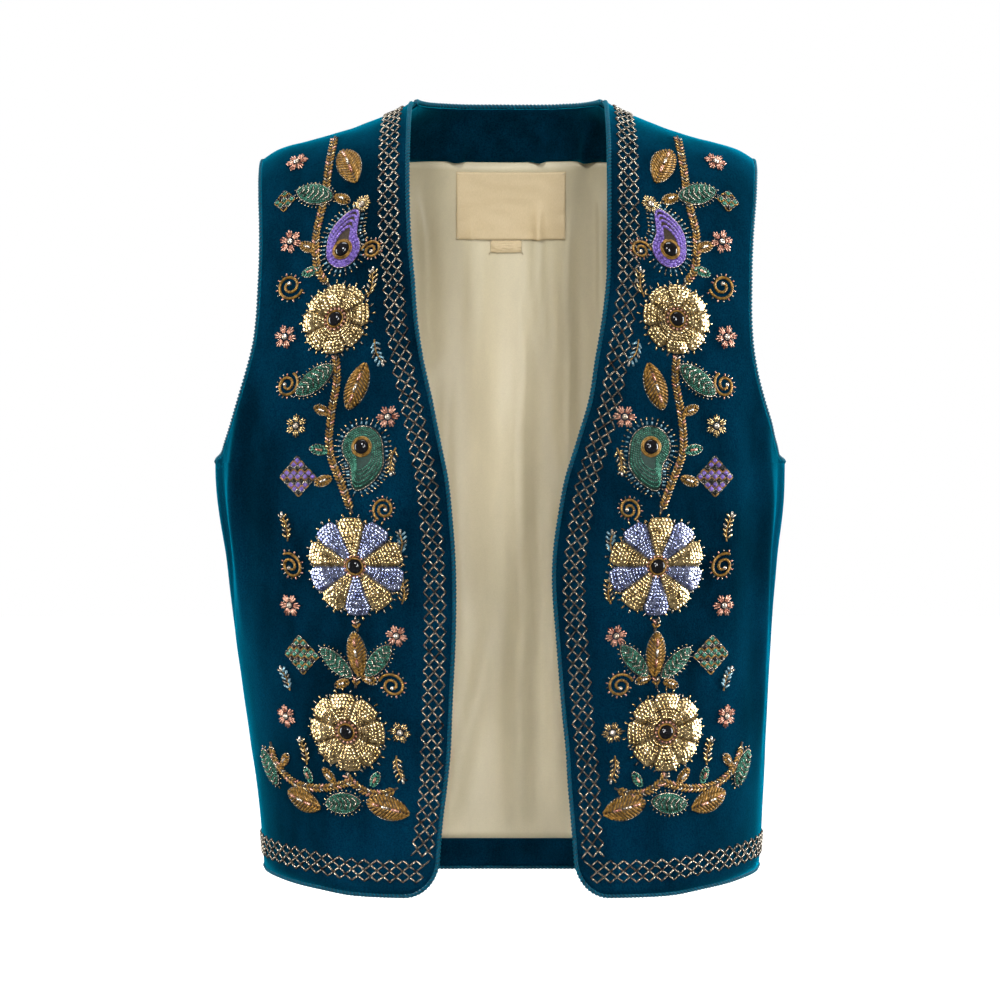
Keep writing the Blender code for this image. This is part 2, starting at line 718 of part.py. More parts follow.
# The inner layers lie one gap inside the velvet, and the label one gap inside the lining
FIRST_LAYER = VELVET + GAP
layer("back", REAR, 0, TOP_ROW, 0.0, VELVET, velvet)
layer("hem_facing", REAR, 0, 1, FIRST_LAYER, FIRST_LAYER + FACING, velvet)
layer("lining", REAR, 1, YOKE_ROW, FIRST_LAYER, FIRST_LAYER + LINING, satin)
layer("neck_facing", REAR, YOKE_ROW, TOP_ROW, FIRST_LAYER, FIRST_LAYER + FACING, velvet)
label_depth = FIRST_LAYER + LINING + GAP
patch("label", REAR, 0.0039, -0.0235, 0.083, 0.0500, 7, 5, label_depth, label_depth + LABEL, label_satin)
patch("size_tag", REAR, 0.0001, -0.0739, 0.0235, 0.0090, 3, 2, label_depth, label_depth + LABEL, label_satin)

for side in (LEFT, RIGHT):
    front = FRONTS[side]
    layer(f"front_{SIDE_NAMES[side]}", front, 0, TOP_ROW, 0.0, VELVET, velvet)
    hem = [(front, column, 0) for column in range(FRONT_COLUMNS, 0, -1)]
    edge = [(front, 0, row) for row in range(TOP_ROW + 1)]
    edging = hem + edge
    cord(f"piping_front_{SIDE_NAMES[side]}", edging if side == LEFT else edging[::-1], corded)
    down = [(front, FRONT_COLUMNS, row) for row in range(TOP_ROW, ARMPIT_ROW - 1, -1)]
    seam_column = 0 if side == LEFT else BACK_COLUMNS
    up = [(REAR, seam_column, row) for row in range(ARMPIT_ROW + 1, TOP_ROW)]
    armhole = down + up
    cord(f"piping_armhole_{SIDE_NAMES[side]}", armhole if side == LEFT else armhole[::-1], corded, closed=True)

middle = BACK_COLUMNS // 2
neckline = [(REAR, column, TOP_ROW) for column in range(middle - NECK_COLUMNS, middle + NECK_COLUMNS + 1)]
cord("piping_neck", neckline, corded)
cord("piping_back_hem", [(REAR, column, 0) for column in range(BACK_COLUMNS, -1, -1)], corded)

for side in (LEFT, RIGHT):
    front, suffix = FRONTS[side], SIDE_NAMES[side]
    for leaf in LEAVES:
        at = local_frame(front, side, leaf.distance, leaf.height, leaf.turn)
        outline = leaf_outline(leaf.length, leaf.width)
        applique(f"{leaf.name}_{suffix}", front, at, outline, LEAF_PROFILE, APPLIQUE_BASE, leaf.material)
    for daisy in DAISIES:
        at = local_frame(front, side, daisy.distance, daisy.height, 90)
        outline = daisy_outline(daisy.radius, daisy.petals)
        applique(f"{daisy.name}_{suffix}", front, at, outline, DAISY_PROFILE, APPLIQUE_BASE, daisy.material)
        base = APPLIQUE_BASE + DAISY_PROFILE[0][1] + GAP
        applique(f"stone_{daisy.name}_{suffix}", front, at, round_outline(STONE_RADIUS), STONE_PROFILE, base, stone)
    for paisley in PAISLEYS:
        at = local_frame(front, side, paisley.distance, paisley.height, paisley.turn)
        outline = paisley_outline(paisley.radius)
        applique(f"{paisley.name}_{suffix}", front, at, outline, PAISLEY_PROFILE, APPLIQUE_BASE, paisley.material)
        base = APPLIQUE_BASE + PAISLEY_PROFILE[0][1] + GAP
        applique(f"stone_{paisley.name}_{suffix}", front, at, round_outline(STONE_RADIUS), STONE_PROFILE, base, stone)
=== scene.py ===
"""Looks for the velvet waistcoat: its cloth, cords, beading and embroidery, the studio and the camera.

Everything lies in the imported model's frame: metres, +Z up, the front faces -Y. "Left" and "right" are as
seen from the front: left is -X. The cloth follows one smooth form. A point of the form is named by its face
(FRONT or BACK), its angle round the body (0 at the middle of that face, a quarter turn at the side seam,
negative on the left) and its rise (0 at the hem, 1 at the armpit, 2 at the shoulder seam). A depth is
measured inwards from the velvet's outer face along its normal, and a height outwards from it.
"""

import math
from collections import namedtuple
from functools import lru_cache, partial
from math import cos, pi, sin, sqrt

import bpy
import numpy as np
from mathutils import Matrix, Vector, noise


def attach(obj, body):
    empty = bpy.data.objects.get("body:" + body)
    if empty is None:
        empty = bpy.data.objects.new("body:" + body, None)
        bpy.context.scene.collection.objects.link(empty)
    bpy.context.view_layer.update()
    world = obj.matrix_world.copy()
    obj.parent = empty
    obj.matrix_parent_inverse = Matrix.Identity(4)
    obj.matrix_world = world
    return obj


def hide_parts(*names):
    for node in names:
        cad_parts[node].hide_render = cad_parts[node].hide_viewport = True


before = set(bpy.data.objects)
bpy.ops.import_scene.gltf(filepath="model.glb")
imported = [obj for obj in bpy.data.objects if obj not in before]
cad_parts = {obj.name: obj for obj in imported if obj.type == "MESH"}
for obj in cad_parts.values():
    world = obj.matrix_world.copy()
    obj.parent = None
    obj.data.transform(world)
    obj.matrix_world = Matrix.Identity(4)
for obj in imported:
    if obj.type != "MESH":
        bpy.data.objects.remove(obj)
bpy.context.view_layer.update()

FRONT, BACK = -1, 1
LEFT, RIGHT = -1, 1
SIDE_NAMES = {LEFT: "left", RIGHT: "right"}

# How thick the layers of cloth are, and the room between them
VELVET = 0.0020
LINING = 0.0010
FACING = 0.0016
LABEL = 0.0006
GAP = 0.0003
FIRST_LAYER = VELVET + GAP

# Heights of the form
ARMPIT = -0.2430
HEM_FACING_TOP = -0.5235
HEM_CORNER_RADIUS = 0.027

# Roundness of the horizontal sections and of the arch over the shoulders: 2 is an ellipse, more is squarer
SECTION_POWER = 2.4
ARCH_POWER = 2.5

# What the tables below give as it is. All else in them is a length in millimetres.
PLAIN_FIELDS = {"angle", "top_angle", "bottom_angle", "turn", "face", "side", "petals", "name", "material"}


def table(kind, rows):
    """Named rows, with their lengths turned into metres."""
    plain = [field in PLAIN_FIELDS for field in kind._fields]
    return [kind(*(v if keep else round(v / 1000, 7) for v, keep in zip(row, plain))) for row in rows]


Section = namedtuple("Section", "height half_width centre front_depth back_depth")
SECTIONS = table(Section, [
    (-560, 178, 4, 106, 99), (-520, 180.8, 4, 106.5, 98.5), (-480, 183.6, 3, 107, 97),
    (-430, 188.2, 0.6, 107.5, 95), (-370, 194.3, -1.8, 108.5, 94), (-310, 200.5, -3, 110.5, 96),
    (-270, 206, -3.8, 112, 98.5), (-240, 207.2, -4.4, 112, 100), (-195, 206.6, -3.2, 112, 101),
    (-140, 206.6, -1.5, 112, 101), (-80, 206.6, 0.2, 112, 100), (-20, 206.6, 1.5, 112, 100),
    (70, 206.6, 2, 112, 100),
])

FrontEdge = namedtuple("FrontEdge", "height left right")
FRONT_EDGES = table(FrontEdge, [
    (-560, 50, 50.5), (-515, 45.8, 48), (-493, 43, 46.5), (-465, 40.3, 45.2), (-437, 39.6, 42.4),
    (-381, 37.7, 38), (-339, 37.5, 35), (-311, 38.4, 35.7), (-283, 40.5, 39.2), (-255, 43.4, 44.1),
    (-227, 48.9, 52.5), (-199, 54.5, 60.8), (-171, 60.7, 65.2), (-143, 65, 70), (-115, 67.1, 73.3),
    (-87, 69.7, 74), (-50, 71.2, 74.5), (-10, 71.5, 74.5), (10, 71.2, 74), (22, 70, 73),
])

# Half the width between the armholes, the same on both sides of the centre line
Armhole = namedtuple("Armhole", "height half_width")
ARMHOLE = table(Armhole, [
    (-243, 206.6), (-238.5, 203), (-230, 198.2), (-220, 193.8), (-208, 189.3), (-194, 185), (-178, 180.8),
    (-158, 177), (-130, 175), (-90, 175), (-50, 177.5), (-30, 178.5), (-15, 178.5),
])
BACK_ARMHOLE_EXTRA = 0.0010

# The top of the shoulders, by distance from the centre line: the seam runs along it outside the neck
Shoulder = namedtuple("Shoulder", "distance height")
SHOULDERS = table(Shoulder, [
    (0, 50), (30, 45), (52, 33.5), (70, 20.5), (81, 13.5), (92, 9), (103, 4.5), (114, 0.5), (125, -2.8),
    (146, -8.5), (166, -14), (176, -19.5), (190, -30),
])
BACK_NECK_HEIGHT = 0.0215
NECK_HALF_WIDTH = 0.0705

# The lower edge of the back neck facing: level between the neck points, then falling toward the armholes
Yoke = namedtuple("Yoke", "distance height")
YOKE = table(Yoke, [
    (0, -16.4), (75, -17.2), (110, -26), (145, -41), (180, -56),
])

Hem = namedtuple("Hem", "angle front_height back_height")
HEMS = table(Hem, [
    (0, -546.5, -544), (26, -547, -543.8), (37, -546.2, -543), (46, -542.7, -541.5), (57, -539.2, -539.2),
    (66, -536.4, -536.6), (80, -533.7, -533.8), (90, -532.5, -532.5),
])

# Soft folds of the velvet, as ridges (or valleys, below zero) between two points of the form
Fold = namedtuple("Fold", "face side top_angle top bottom_angle bottom half_width height")
FOLDS = table(Fold, [
    (FRONT, LEFT, 57, -195, 66, -330, 11, 5), (FRONT, LEFT, 72, -250, 78, -330, 12, -4),
    (FRONT, RIGHT, 60, -205, 70, -440, 11, 5), (FRONT, RIGHT, 74, -250, 79, -350, 12, -4),
    (FRONT, RIGHT, 48, -190, 50, -370, 13, 2.5), (FRONT, LEFT, 45, -170, 52, -300, 14, 2),
    (BACK, LEFT, 50, -200, 46, -400, 16, 4.5), (BACK, RIGHT, 52, -190, 48, -420, 16, 4.5),
    (BACK, LEFT, 12, -330, 16, -520, 20, 3), (BACK, RIGHT, 14, -300, 20, -510, 20, 3),
])

# How far a fold runs out beyond its ends, where it ends before the side seam, and the arc of a degree
FOLD_RUN_OUT = 0.04
FOLD_END_DEGREES = 8
ARC_PER_DEGREE = 0.0030

# Heights of the worn velvet's unevenness, and the furrow along the side seams
SOFT_WAVES = 0.0007
SMALL_WAVES = 0.00022
FURROW_DEPTH = 0.0006
FURROW_HALF_WIDTH = 0.0016

# Between these rises the columns draw in toward the armholes. Only those nearest the side seam follow the
# armhole's edge itself, which turns sharply at the armpit.
DRAW_IN_FROM = 0.40
DRAWN_IN = 1.25
EDGE_POWER = 4

# Columns and rows of the walls. On the back, rows lie along the facings' edges, which the inner layers share.
CORNER_COLUMNS = 5
FRONT_COLUMNS = 14
BACK_COLUMNS = 26
NECK_COLUMNS = 6
ARMPIT_ROW = 12
YOKE_ROW = 22
TOP_ROW = 26
ROW_EASE = 1.8

# How often a place on the form is looked for again from the last one found
EDGE_PASSES = 14
RISE_PASSES = 8


def along(rows, field, key, at):
    """A smooth curve through one column of a table, by another column that rises all the way."""
    keys = [getattr(row, key) for row in rows]
    values = [getattr(row, field) for row in rows]
    if at <= keys[0]:
        return values[0]
    if at >= keys[-1]:
        return values[-1]
    i = next(k for k in range(len(keys) - 1) if at <= keys[k + 1])

    def slope(k):
        low, high = max(k - 1, 0), min(k + 1, len(keys) - 1)
        return (values[high] - values[low]) / (keys[high] - keys[low])

    span = keys[i + 1] - keys[i]
    t = (at - keys[i]) / span
    blend = t * t * (3 - 2 * t)
    ends = values[i] * (1 - blend) + values[i + 1] * blend
    return ends + span * (slope(i) * t * (1 - t) ** 2 - slope(i + 1) * t * t * (1 - t))


def smooth(t):
    t = max(0.0, min(1.0, t))
    return t * t * (3 - 2 * t)


def superellipse(angle, power):
    """(sine, cosine) of a rounded square's outline, by its polar angle in radians."""
    s, c = sin(angle), cos(angle)
    size = (abs(s) ** power + abs(c) ** power) ** (1 / power)
    return s / size, c / size


def angle_of(share, power):
    """The polar angle, in radians, at which the superellipse's sine is share."""
    share = max(-1.0, min(1.0, share))
    return math.atan2(share, (1 - abs(share) ** power) ** (1 / power))


@lru_cache(maxsize=None)
def section(height):
    return Section(height, *(along(SECTIONS, f, "height", height) for f in Section._fields[1:]))


WIDEST = section(ARMPIT).half_width


def hem_height(face, angle):
    field = "front_height" if face == FRONT else "back_height"
    return along(HEMS, field, "angle", abs(math.degrees(angle)))


def ridge_height(angle):
    """The height of the shoulders' top at an angle."""
    sine, _ = superellipse(angle, SECTION_POWER)
    return along(SHOULDERS, "height", "distance", abs(WIDEST * sine))


def corner_lift(distance):
    """How far the rounded front corner lifts the hem, by the distance from the front edge."""
    inward = HEM_CORNER_RADIUS - min(max(distance, 0.0), HEM_CORNER_RADIUS)
    return HEM_CORNER_RADIUS - sqrt(HEM_CORNER_RADIUS**2 - inward**2)


def form_point(face, angle, rise, corner=0.0):
    """A point of the bare form, with no folds. corner lifts the hem there."""
    pull = 1.0
    if rise <= 1:
        hem = hem_height(face, angle) + corner
        height = hem + rise * (ARMPIT - hem)
    else:
        lift, pull = superellipse((rise - 1) * pi / 2, ARCH_POWER)
        height = ARMPIT + (ridge_height(angle) - ARMPIT) * lift
    here = section(height)
    sine, cosine = superellipse(angle, SECTION_POWER)
    depth = here.front_depth if face == FRONT else here.back_depth
    return Vector((here.centre + here.half_width * sine, face * depth * cosine * pull, height))


def form_steps(face, angle, rise, step, corner=0.0):
    """How far the form goes across, and up, from a step on one side of a point to a step on the other."""
    across = form_point(face, angle + step, rise, corner) - form_point(face, angle - step, rise, corner)
    up = form_point(face, angle, rise + step, corner) - form_point(face, angle, rise - step, corner)
    return across, up


@lru_cache(maxsize=None)
def form_normal(face, angle, rise, corner=0.0):
    """The form's outward normal."""
    across, up = form_steps(face, angle, rise, 0.002, corner)
    return (across.cross(up) * -face).normalized()


def fold_relief(face, angle, height):
    """How far the folds lift the cloth off the bare form. They end before the side seam."""
    degrees = abs(math.degrees(angle))
    total = 0.0
    for fold in FOLDS:
        if fold.face != face or fold.side * angle < 0:
            continue
        reach = FOLD_RUN_OUT / (fold.top - fold.bottom)
        t = (fold.top - height) / (fold.top - fold.bottom)
        if not -reach < t < 1 + reach:
            continue
        fade = sin(pi * (t + reach) / (1 + 2 * reach))
        middle = fold.top_angle + (fold.bottom_angle - fold.top_angle) * t
        away = (degrees - middle) * ARC_PER_DEGREE
        total += fold.height * fade * math.exp(-((away / fold.half_width) ** 2))
    return total * smooth((90 - degrees) / FOLD_END_DEGREES)


@lru_cache(maxsize=None)
def front_edge_angle(side, rise):
    """The angle at which a front's edge crosses a rise."""
    angle = side * pi / 4
    for _ in range(EDGE_PASSES):
        point = form_point(FRONT, angle, rise)
        distance = along(FRONT_EDGES, SIDE_NAMES[side], "height", point.z)
        here = section(point.z)
        angle = angle_of((side * distance - here.centre) / here.half_width, SECTION_POWER)
    return angle


@lru_cache(maxsize=None)
def armhole_angle(face, side, rise):
    """The angle of the armhole's edge at a rise, or of the side seam below the armpit."""
    if rise <= 1:
        return side * pi / 2
    extra = BACK_ARMHOLE_EXTRA * sin(pi * (rise - 1)) if face == BACK else 0.0
    reach, _ = superellipse((rise - 1) * pi / 2, ARCH_POWER)
    tip = ridge_height(angle_of(ARMHOLE[-1].half_width / WIDEST, SECTION_POWER))
    height = ARMPIT + (tip - ARMPIT) * reach
    distance = along(ARMHOLE, "half_width", "height", height) + extra
    return side * angle_of(distance / WIDEST, SECTION_POWER)


def outward_angle(face, side, start, share, rise):
    """The angle at a share of the way from start to the armhole or the side seam."""
    edge = armhole_angle(face, side, rise)
    guide = edge
    if rise < DRAWN_IN:
        turned = smooth((rise - DRAW_IN_FROM) / (DRAWN_IN - DRAW_IN_FROM))
        guide = side * pi / 2
        guide += (armhole_angle(face, side, DRAWN_IN) - guide) * turned
    return start + (guide - start) * share + (edge - guide) * share**EDGE_POWER


@lru_cache(maxsize=None)
def front_place(side, column, row):
    """(angle, rise, corner lift) of a place on a front, from the front edge to the side seam."""
    if row <= ARMPIT_ROW:
        rise = row / ARMPIT_ROW
    else:
        rise = 1 + ((row - ARMPIT_ROW) / (TOP_ROW - ARMPIT_ROW)) ** ROW_EASE
    edge, _ = superellipse(front_edge_angle(side, rise), SECTION_POWER)
    turned = min(column / CORNER_COLUMNS, 1) * pi / 2
    distance = HEM_CORNER_RADIUS * (1 - cos(turned))
    angle = angle_of(edge + side * distance / WIDEST, SECTION_POWER)
    share = max(0.0, (column - CORNER_COLUMNS) / (FRONT_COLUMNS - CORNER_COLUMNS))
    if share > 0:
        angle = outward_angle(FRONT, side, angle, share, rise)
    return angle, rise, corner_lift(distance)


@lru_cache(maxsize=None)
def back_angle(column, rise):
    """The angle of a column of the back: even at the hem, and gathered to the neck's curve at the top."""
    across = 2 * column / BACK_COLUMNS - 1
    neck = angle_of(NECK_HALF_WIDTH / WIDEST, SECTION_POWER)
    share = 2 * NECK_COLUMNS / BACK_COLUMNS
    even = outward_angle(BACK, RIGHT, 0.0, abs(across), rise)
    if abs(across) <= share:
        gathered = neck * sin(pi / 2 * abs(across) / share)
    else:
        gathered = outward_angle(BACK, RIGHT, neck, (abs(across) - share) / (1 - share), rise)
    angle = even + (gathered - even) * smooth((rise - 0.3) / 1.1)
    return math.copysign(angle, across)


@lru_cache(maxsize=None)
def back_rise(column, height_at):
    """The rise, above the armpit, at which a column of the back reaches the height that height_at gives."""
    rise = 1.5
    for _ in range(RISE_PASSES):
        ridge = ridge_height(back_angle(column, rise))
        distance = abs(form_point(BACK, back_angle(column, rise), rise).x)
        lift = min(1.0, (height_at(distance) - ARMPIT) / (ridge - ARMPIT))
        rise = 1 + angle_of(lift, ARCH_POWER) / (pi / 2)
    return rise


def yoke_height(distance):
    return along(YOKE, "height", "distance", distance)


def neck_height(distance):
    return BACK_NECK_HEIGHT


@lru_cache(maxsize=None)
def back_place(column, row):
    """(angle, rise, corner lift) of a place on the back. Column 0 is the left side seam."""
    hem = hem_height(BACK, back_angle(column, 0.0))
    facing = (HEM_FACING_TOP - hem) / (ARMPIT - hem)
    yoke = back_rise(column, yoke_height)
    beside_neck = abs(column - BACK_COLUMNS / 2) >= NECK_COLUMNS
    top = 2.0 if beside_neck else back_rise(column, neck_height)
    if row <= 1:
        rise = facing * row
    elif row <= ARMPIT_ROW:
        rise = facing + (1 - facing) * (row - 1) / (ARMPIT_ROW - 1)
    elif row <= YOKE_ROW:
        rise = 1 + (yoke - 1) * ((row - ARMPIT_ROW) / (YOKE_ROW - ARMPIT_ROW)) ** ROW_EASE
    else:
        rise = yoke + (top - yoke) * (row - YOKE_ROW) / (TOP_ROW - YOKE_ROW)
    return back_angle(column, rise), rise, 0.0


# A wall of the form: place gives the (angle, rise, corner lift) at a (column, row)
Panel = namedtuple("Panel", "face place")
FRONTS = {side: Panel(FRONT, partial(front_place, side)) for side in (LEFT, RIGHT)}
REAR = Panel(BACK, back_place)


def spot(face, x, height):
    """(angle, rise) of the form's point at a place seen from the front."""
    here = section(height)
    angle = angle_of((x - here.centre) / here.half_width, SECTION_POWER)
    if height <= ARMPIT:
        hem = hem_height(face, angle)
        return angle, (height - hem) / (ARMPIT - hem)
    lift = (height - ARMPIT) / (ridge_height(angle) - ARMPIT)
    return angle, 1 + angle_of(lift, ARCH_POWER) / (pi / 2)


# Appliques: where they lie on a front, by distance from the centre line, and which way they point
Leaf = namedtuple("Leaf", "name distance height turn length width material")
LEAVES = table(Leaf, [
    ("leaf_shoulder_inner", 112, -30, 70, 34, 15, "bronze"),
    ("leaf_shoulder_outer", 136, -52, 25, 32, 15, "green"),
    ("leaf_chest_inner", 105, -190, -70, 32, 14, "bronze"),
    ("leaf_chest_outer", 135, -185, -35, 34, 15, "green"),
    ("leaf_waist_inner", 90, -382.6, 131, 30, 12, "green"),
    ("leaf_waist_middle", 105.1, -377.5, 87, 30, 12, "bronze"),
    ("leaf_waist_outer", 119.6, -384.2, 43, 30, 12, "green"),
    ("leaf_hem_first", 83.5, -486, 15, 30, 15, "bronze"),
    ("leaf_hem_second", 115, -483.5, -10, 28, 14.5, "green"),
    ("leaf_hem_third", 144, -482, 15, 28, 14.5, "bronze"),
    ("leaf_hem_fourth", 168, -460, 62, 28, 14, "green"),
])
Daisy = namedtuple("Daisy", "name distance height turn radius petals material")
DAISIES = table(Daisy, [
    ("daisy_chest", 120, -142, 90, 24, 8, "gold"), ("daisy_waist", 106, -316, 90, 34, 10, "lilac"),
    ("daisy_hem", 112, -433, 90, 27, 8, "gold"),
])
Paisley = namedtuple("Paisley", "name distance height turn radius material")
PAISLEYS = table(Paisley, [
    ("paisley_chest", 115, -93, 80, 12.5, "lilac"), ("paisley_waist", 101, -232, 250, 14.5, "green"),
])

# How an applique's padding rises, as (share of the way to the rim, height)
APPLIQUE_BASE = 0.0006
LEAF_PROFILE = ((0.0, 0.0022), (0.5, 0.0019), (1.0, 0.0007))
DAISY_PROFILE = ((0.0, 0.0009), (0.30, 0.0009), (0.68, 0.0026), (1.0, 0.0008))
PAISLEY_PROFILE = ((0.0, 0.0018), (0.48, 0.0018), (0.76, 0.0014), (1.0, 0.0007))
STONE_RADIUS = 0.0052
STONE_RIM = 0.0006
STONE_DOME = 0.0028

# Sewn details
CORD_RADIUS = 0.0019
CORD_REACH = 0.0012
CORD_TWIST = 0.0056
CORD_STEP = 0.0009
THREAD_TWIST = 0.0022
LATTICE_HALF_WIDTH = 0.0039
LATTICE_HALF_LENGTH = 0.0047
LATTICE_COLUMNS = 4
LATTICE_FROM_EDGE = 0.0048
LATTICE_FROM_HEM = 0.0085
BUGLE_RADIUS = 0.00075
SEED_RADIUS = 0.00075
SEQUIN_RADIUS = 0.0025
SEQUIN_THICK = 0.00012
SEQUIN_CUP = 0.00022
SEQUIN_TILT = -0.36

# Room at each end of a bead, as a share of the way to the next
RING_GAP = 0.06
LATTICE_GAP = 0.12

# A cord's two strands, as shares of its radius: how far each lies from its middle, and each one's radius
STRAND_OFFSET = 0.36
STRAND_RADIUS = 0.64

# Creases of the inner layers, as ridges that stand inwards off the back, given as (x, height) at both ends
Crease = namedtuple("Crease", "top_x top bottom_x bottom half_width height")
LINING_CREASES = table(Crease, [
    (-78, -60, -70, -500, 12, 11), (-25.5, -68, -26.5, -150, 2, 3.6), (25, -60, 29, -160, 3.6, 8.5),
    (80, -60, 82, -440, 11, 11), (14, -130, 10, -530, 8, 8.5), (34, -260, 38, -520, 5, 6),
    (-12, -370, -42, -510, 4.5, 6.5), (-46, -200, -42, -480, 6, 5), (55, -22, 82, -62, 4, 7),
    (71, -20, 74, -120, 4.5, 8), (-64, -20, -58, -150, 7, 9), (48, -80, 46, -250, 6, 8.5),
    (-4, -90, -6, -330, 16, 8),
])
FACING_CREASES = table(Crease, [
    (33, 11, 18, -24, 2.6, 10), (-33, 9, -40, -24, 5, 6), (64, 7, 60, -24, 5, 6),
])

# How far a crease runs out beyond its ends, as a share of its length, and how far it wanders to its sides
CREASE_RUN_OUT = 0.15
CREASE_WANDER = 0.004

# The lining's soft swell, the edges where it lies flat, and its puckered middle seam
LINING_SWELL = 0.0016
LINING_SIDES = 0.185
LINING_TOP = -0.020
LINING_HEM = -0.5225
LINING_SEAM_X = 0.009
LINING_SEAM_TOP = -0.14
LINING_SEAM_HALF_WIDTH = 0.0038

# The embroidery between the appliques, by distance from the centre line and height
Stop = namedtuple("Stop", "distance height")
STEMS = [table(Stop, course) for course in [
    [(123, -8), (126, -30), (129, -56), (134.5, -82), (133, -106), (124, -119)],
    [(120, -167), (119, -185), (123, -210), (124, -235), (115, -260), (108, -279)],
    [(106, -353), (104.5, -362)],
    [(105, -393), (106, -402)],
    [(113, -462), (109, -468), (98, -475), (86, -476), (76, -472)],
    [(109, -468), (128, -473), (148, -471), (162, -459), (168, -442)],
]]
Motif = namedtuple("Motif", "distance height turn size material")
STARS = table(Motif, [
    (150, -27, 0, 8.5, "rose"), (153, -86, 20, 9, "rose"), (102, -60, 10, 7, "gold"),
    (156, -154, 15, 9, "rose"), (83, -211, 0, 8.5, "rose"), (148, -217, 30, 8.5, "gold"),
    (77, -365, 15, 8, "rose"), (153, -344, 0, 8.5, "rose"), (74.5, -433, 10, 8, "gold"),
    (156, -423, 25, 8.5, "rose"),
])
TENDRILS = table(Motif, [
    (153, -118, 200, 10.5, "bronze"), (95, -93, 10, 7.5, "bronze"), (154, -188, 120, 9, "bronze"),
    (86, -276, -60, 8.5, "bronze"), (152, -316, 60, 9.5, "bronze"), (80, -400, 20, 9.5, "bronze"),
])
SPRIGS = table(Motif, [
    (96, -118, 100, 17, "gold"), (90, -164, -110, 17, "turquoise"), (79, -242, -80, 17, "gold"),
    (156, -290, 85, 17, "gold"), (74.5, -301, 95, 14, "turquoise"), (73, -335, 95, 15, "gold"),
    (75, -457, -100, 16, "gold"), (143, -449, 80, 16, "gold"), (156, -398, 70, 14, "turquoise"),
])
LEAFLETS = table(Motif, [
    (116, -56, 215, 13, "bronze"), (141, -90, 30, 13, "bronze"), (139, -108, -10, 12, "green"),
    (130, -206, 25, 12, "bronze"), (132, -234, 10, 13, "green"), (129, -256, -20, 13, "bronze"),
    (96, -396, 200, 11, "bronze"), (116, -399, -20, 11, "bronze"), (92, -466, 120, 11, "green"),
    (125, -464, 50, 12, "bronze"), (140, -464, 70, 11, "green"), (157, -454, 130, 11, "bronze"),
])
MOSAICS = table(Motif, [
    (147, -253, 45, 15, "violet"), (145, -379, 45, 16, "green"), (158, -56, 45, 10, "green"),
])

# Depths of a material's fine relief, and the stretch of a grain that is drawn out upwards
WEAVE = 0.0002
PILE = 0.0004
UPRIGHT = (1, 1, 0.2)


def feed(tree, node, inputs):
    """Gives each input a value, or joins it to another node's output."""
    for name, value in inputs.items():
        if isinstance(value, bpy.types.NodeSocket):
            tree.links.new(value, node.inputs[name])
        else:
            node.inputs[name].default_value = value


def add_node(tree, kind, inputs):
    node = tree.nodes.new(kind)
    feed(tree, node, inputs)
    return node


def add_noise(tree, scale, stretch, detail, roughness=0.5):
    """A noise, in grains a metre, that lies in the object's own space."""
    place = add_node(tree, "ShaderNodeTexCoord", {})
    mapping = add_node(tree, "ShaderNodeMapping", {"Scale": stretch, "Vector": place.outputs["Object"]})
    inputs = {"Scale": scale, "Detail": detail, "Roughness": roughness, "Vector": mapping.outputs["Vector"]}
    return add_node(tree, "ShaderNodeTexNoise", inputs).outputs["Fac"]


def add_ramp(tree, strength, dark, light, low, high):
    """A colour that goes from dark to light as a strength goes from low to high."""
    ramp = add_node(tree, "ShaderNodeValToRGB", {"Fac": strength})
    for element, position, colour in zip(ramp.color_ramp.elements, (low, high), (dark, light)):
        element.position = position
        element.color = (*colour, 1.0)
    return ramp.outputs["Color"]


def make_material(name, dark, light, roughness, metallic, grain, bump, depth=WEAVE, stretch=(1, 1, 1)):
    """A procedural material whose colour, gloss and relief vary with a fine grain, in grains a metre."""
    material = bpy.data.materials.new(name)
    material.use_nodes = True
    tree = material.node_tree
    strength = add_noise(tree, grain, stretch, 3.0)
    gloss = {"To Min": max(0.02, roughness - 0.06), "To Max": min(1.0, roughness + 0.06), "Value": strength}
    relief = {"Strength": bump, "Distance": depth, "Height": strength}
    feed(tree, tree.nodes["Principled BSDF"], {
        "Metallic": metallic,
        "Base Color": add_ramp(tree, strength, dark, light, 0.32, 0.68),
        "Roughness": add_node(tree, "ShaderNodeMapRange", gloss).outputs["Result"],
        "Normal": add_node(tree, "ShaderNodeBump", relief).outputs["Normal"],
    })
    return material


def add_patches(name, scale, stretch, low, high):
    """Multiplies the colour by soft random patches. On the velvet pile they are partly the tone of brushed
    pile and partly painted sheen; on the satin they are faint upright streaks of lighter and darker colour.
    """
    tree = MATERIALS[name].node_tree
    shader = tree.nodes["Principled BSDF"]
    colour = shader.inputs["Base Color"].links[0].from_socket
    patches = add_ramp(tree, add_noise(tree, scale, stretch, 4.0, 0.6), [low] * 3, [high] * 3, 0.35, 0.65)
    mix = add_node(tree, "ShaderNodeMix", {"Factor": 1.0})
    mix.data_type = "RGBA"
    mix.blend_type = "MULTIPLY"
    first_colour, second_colour, mixed_colour = 6, 7, 2
    feed(tree, mix, {first_colour: colour, second_colour: patches})
    tree.links.new(mix.outputs[mixed_colour], shader.inputs["Base Color"])


def set_shader(name, **values):
    shader = MATERIALS[name].node_tree.nodes["Principled BSDF"]
    for label, value in values.items():
        shader.inputs[label.replace("_", " ")].default_value = value


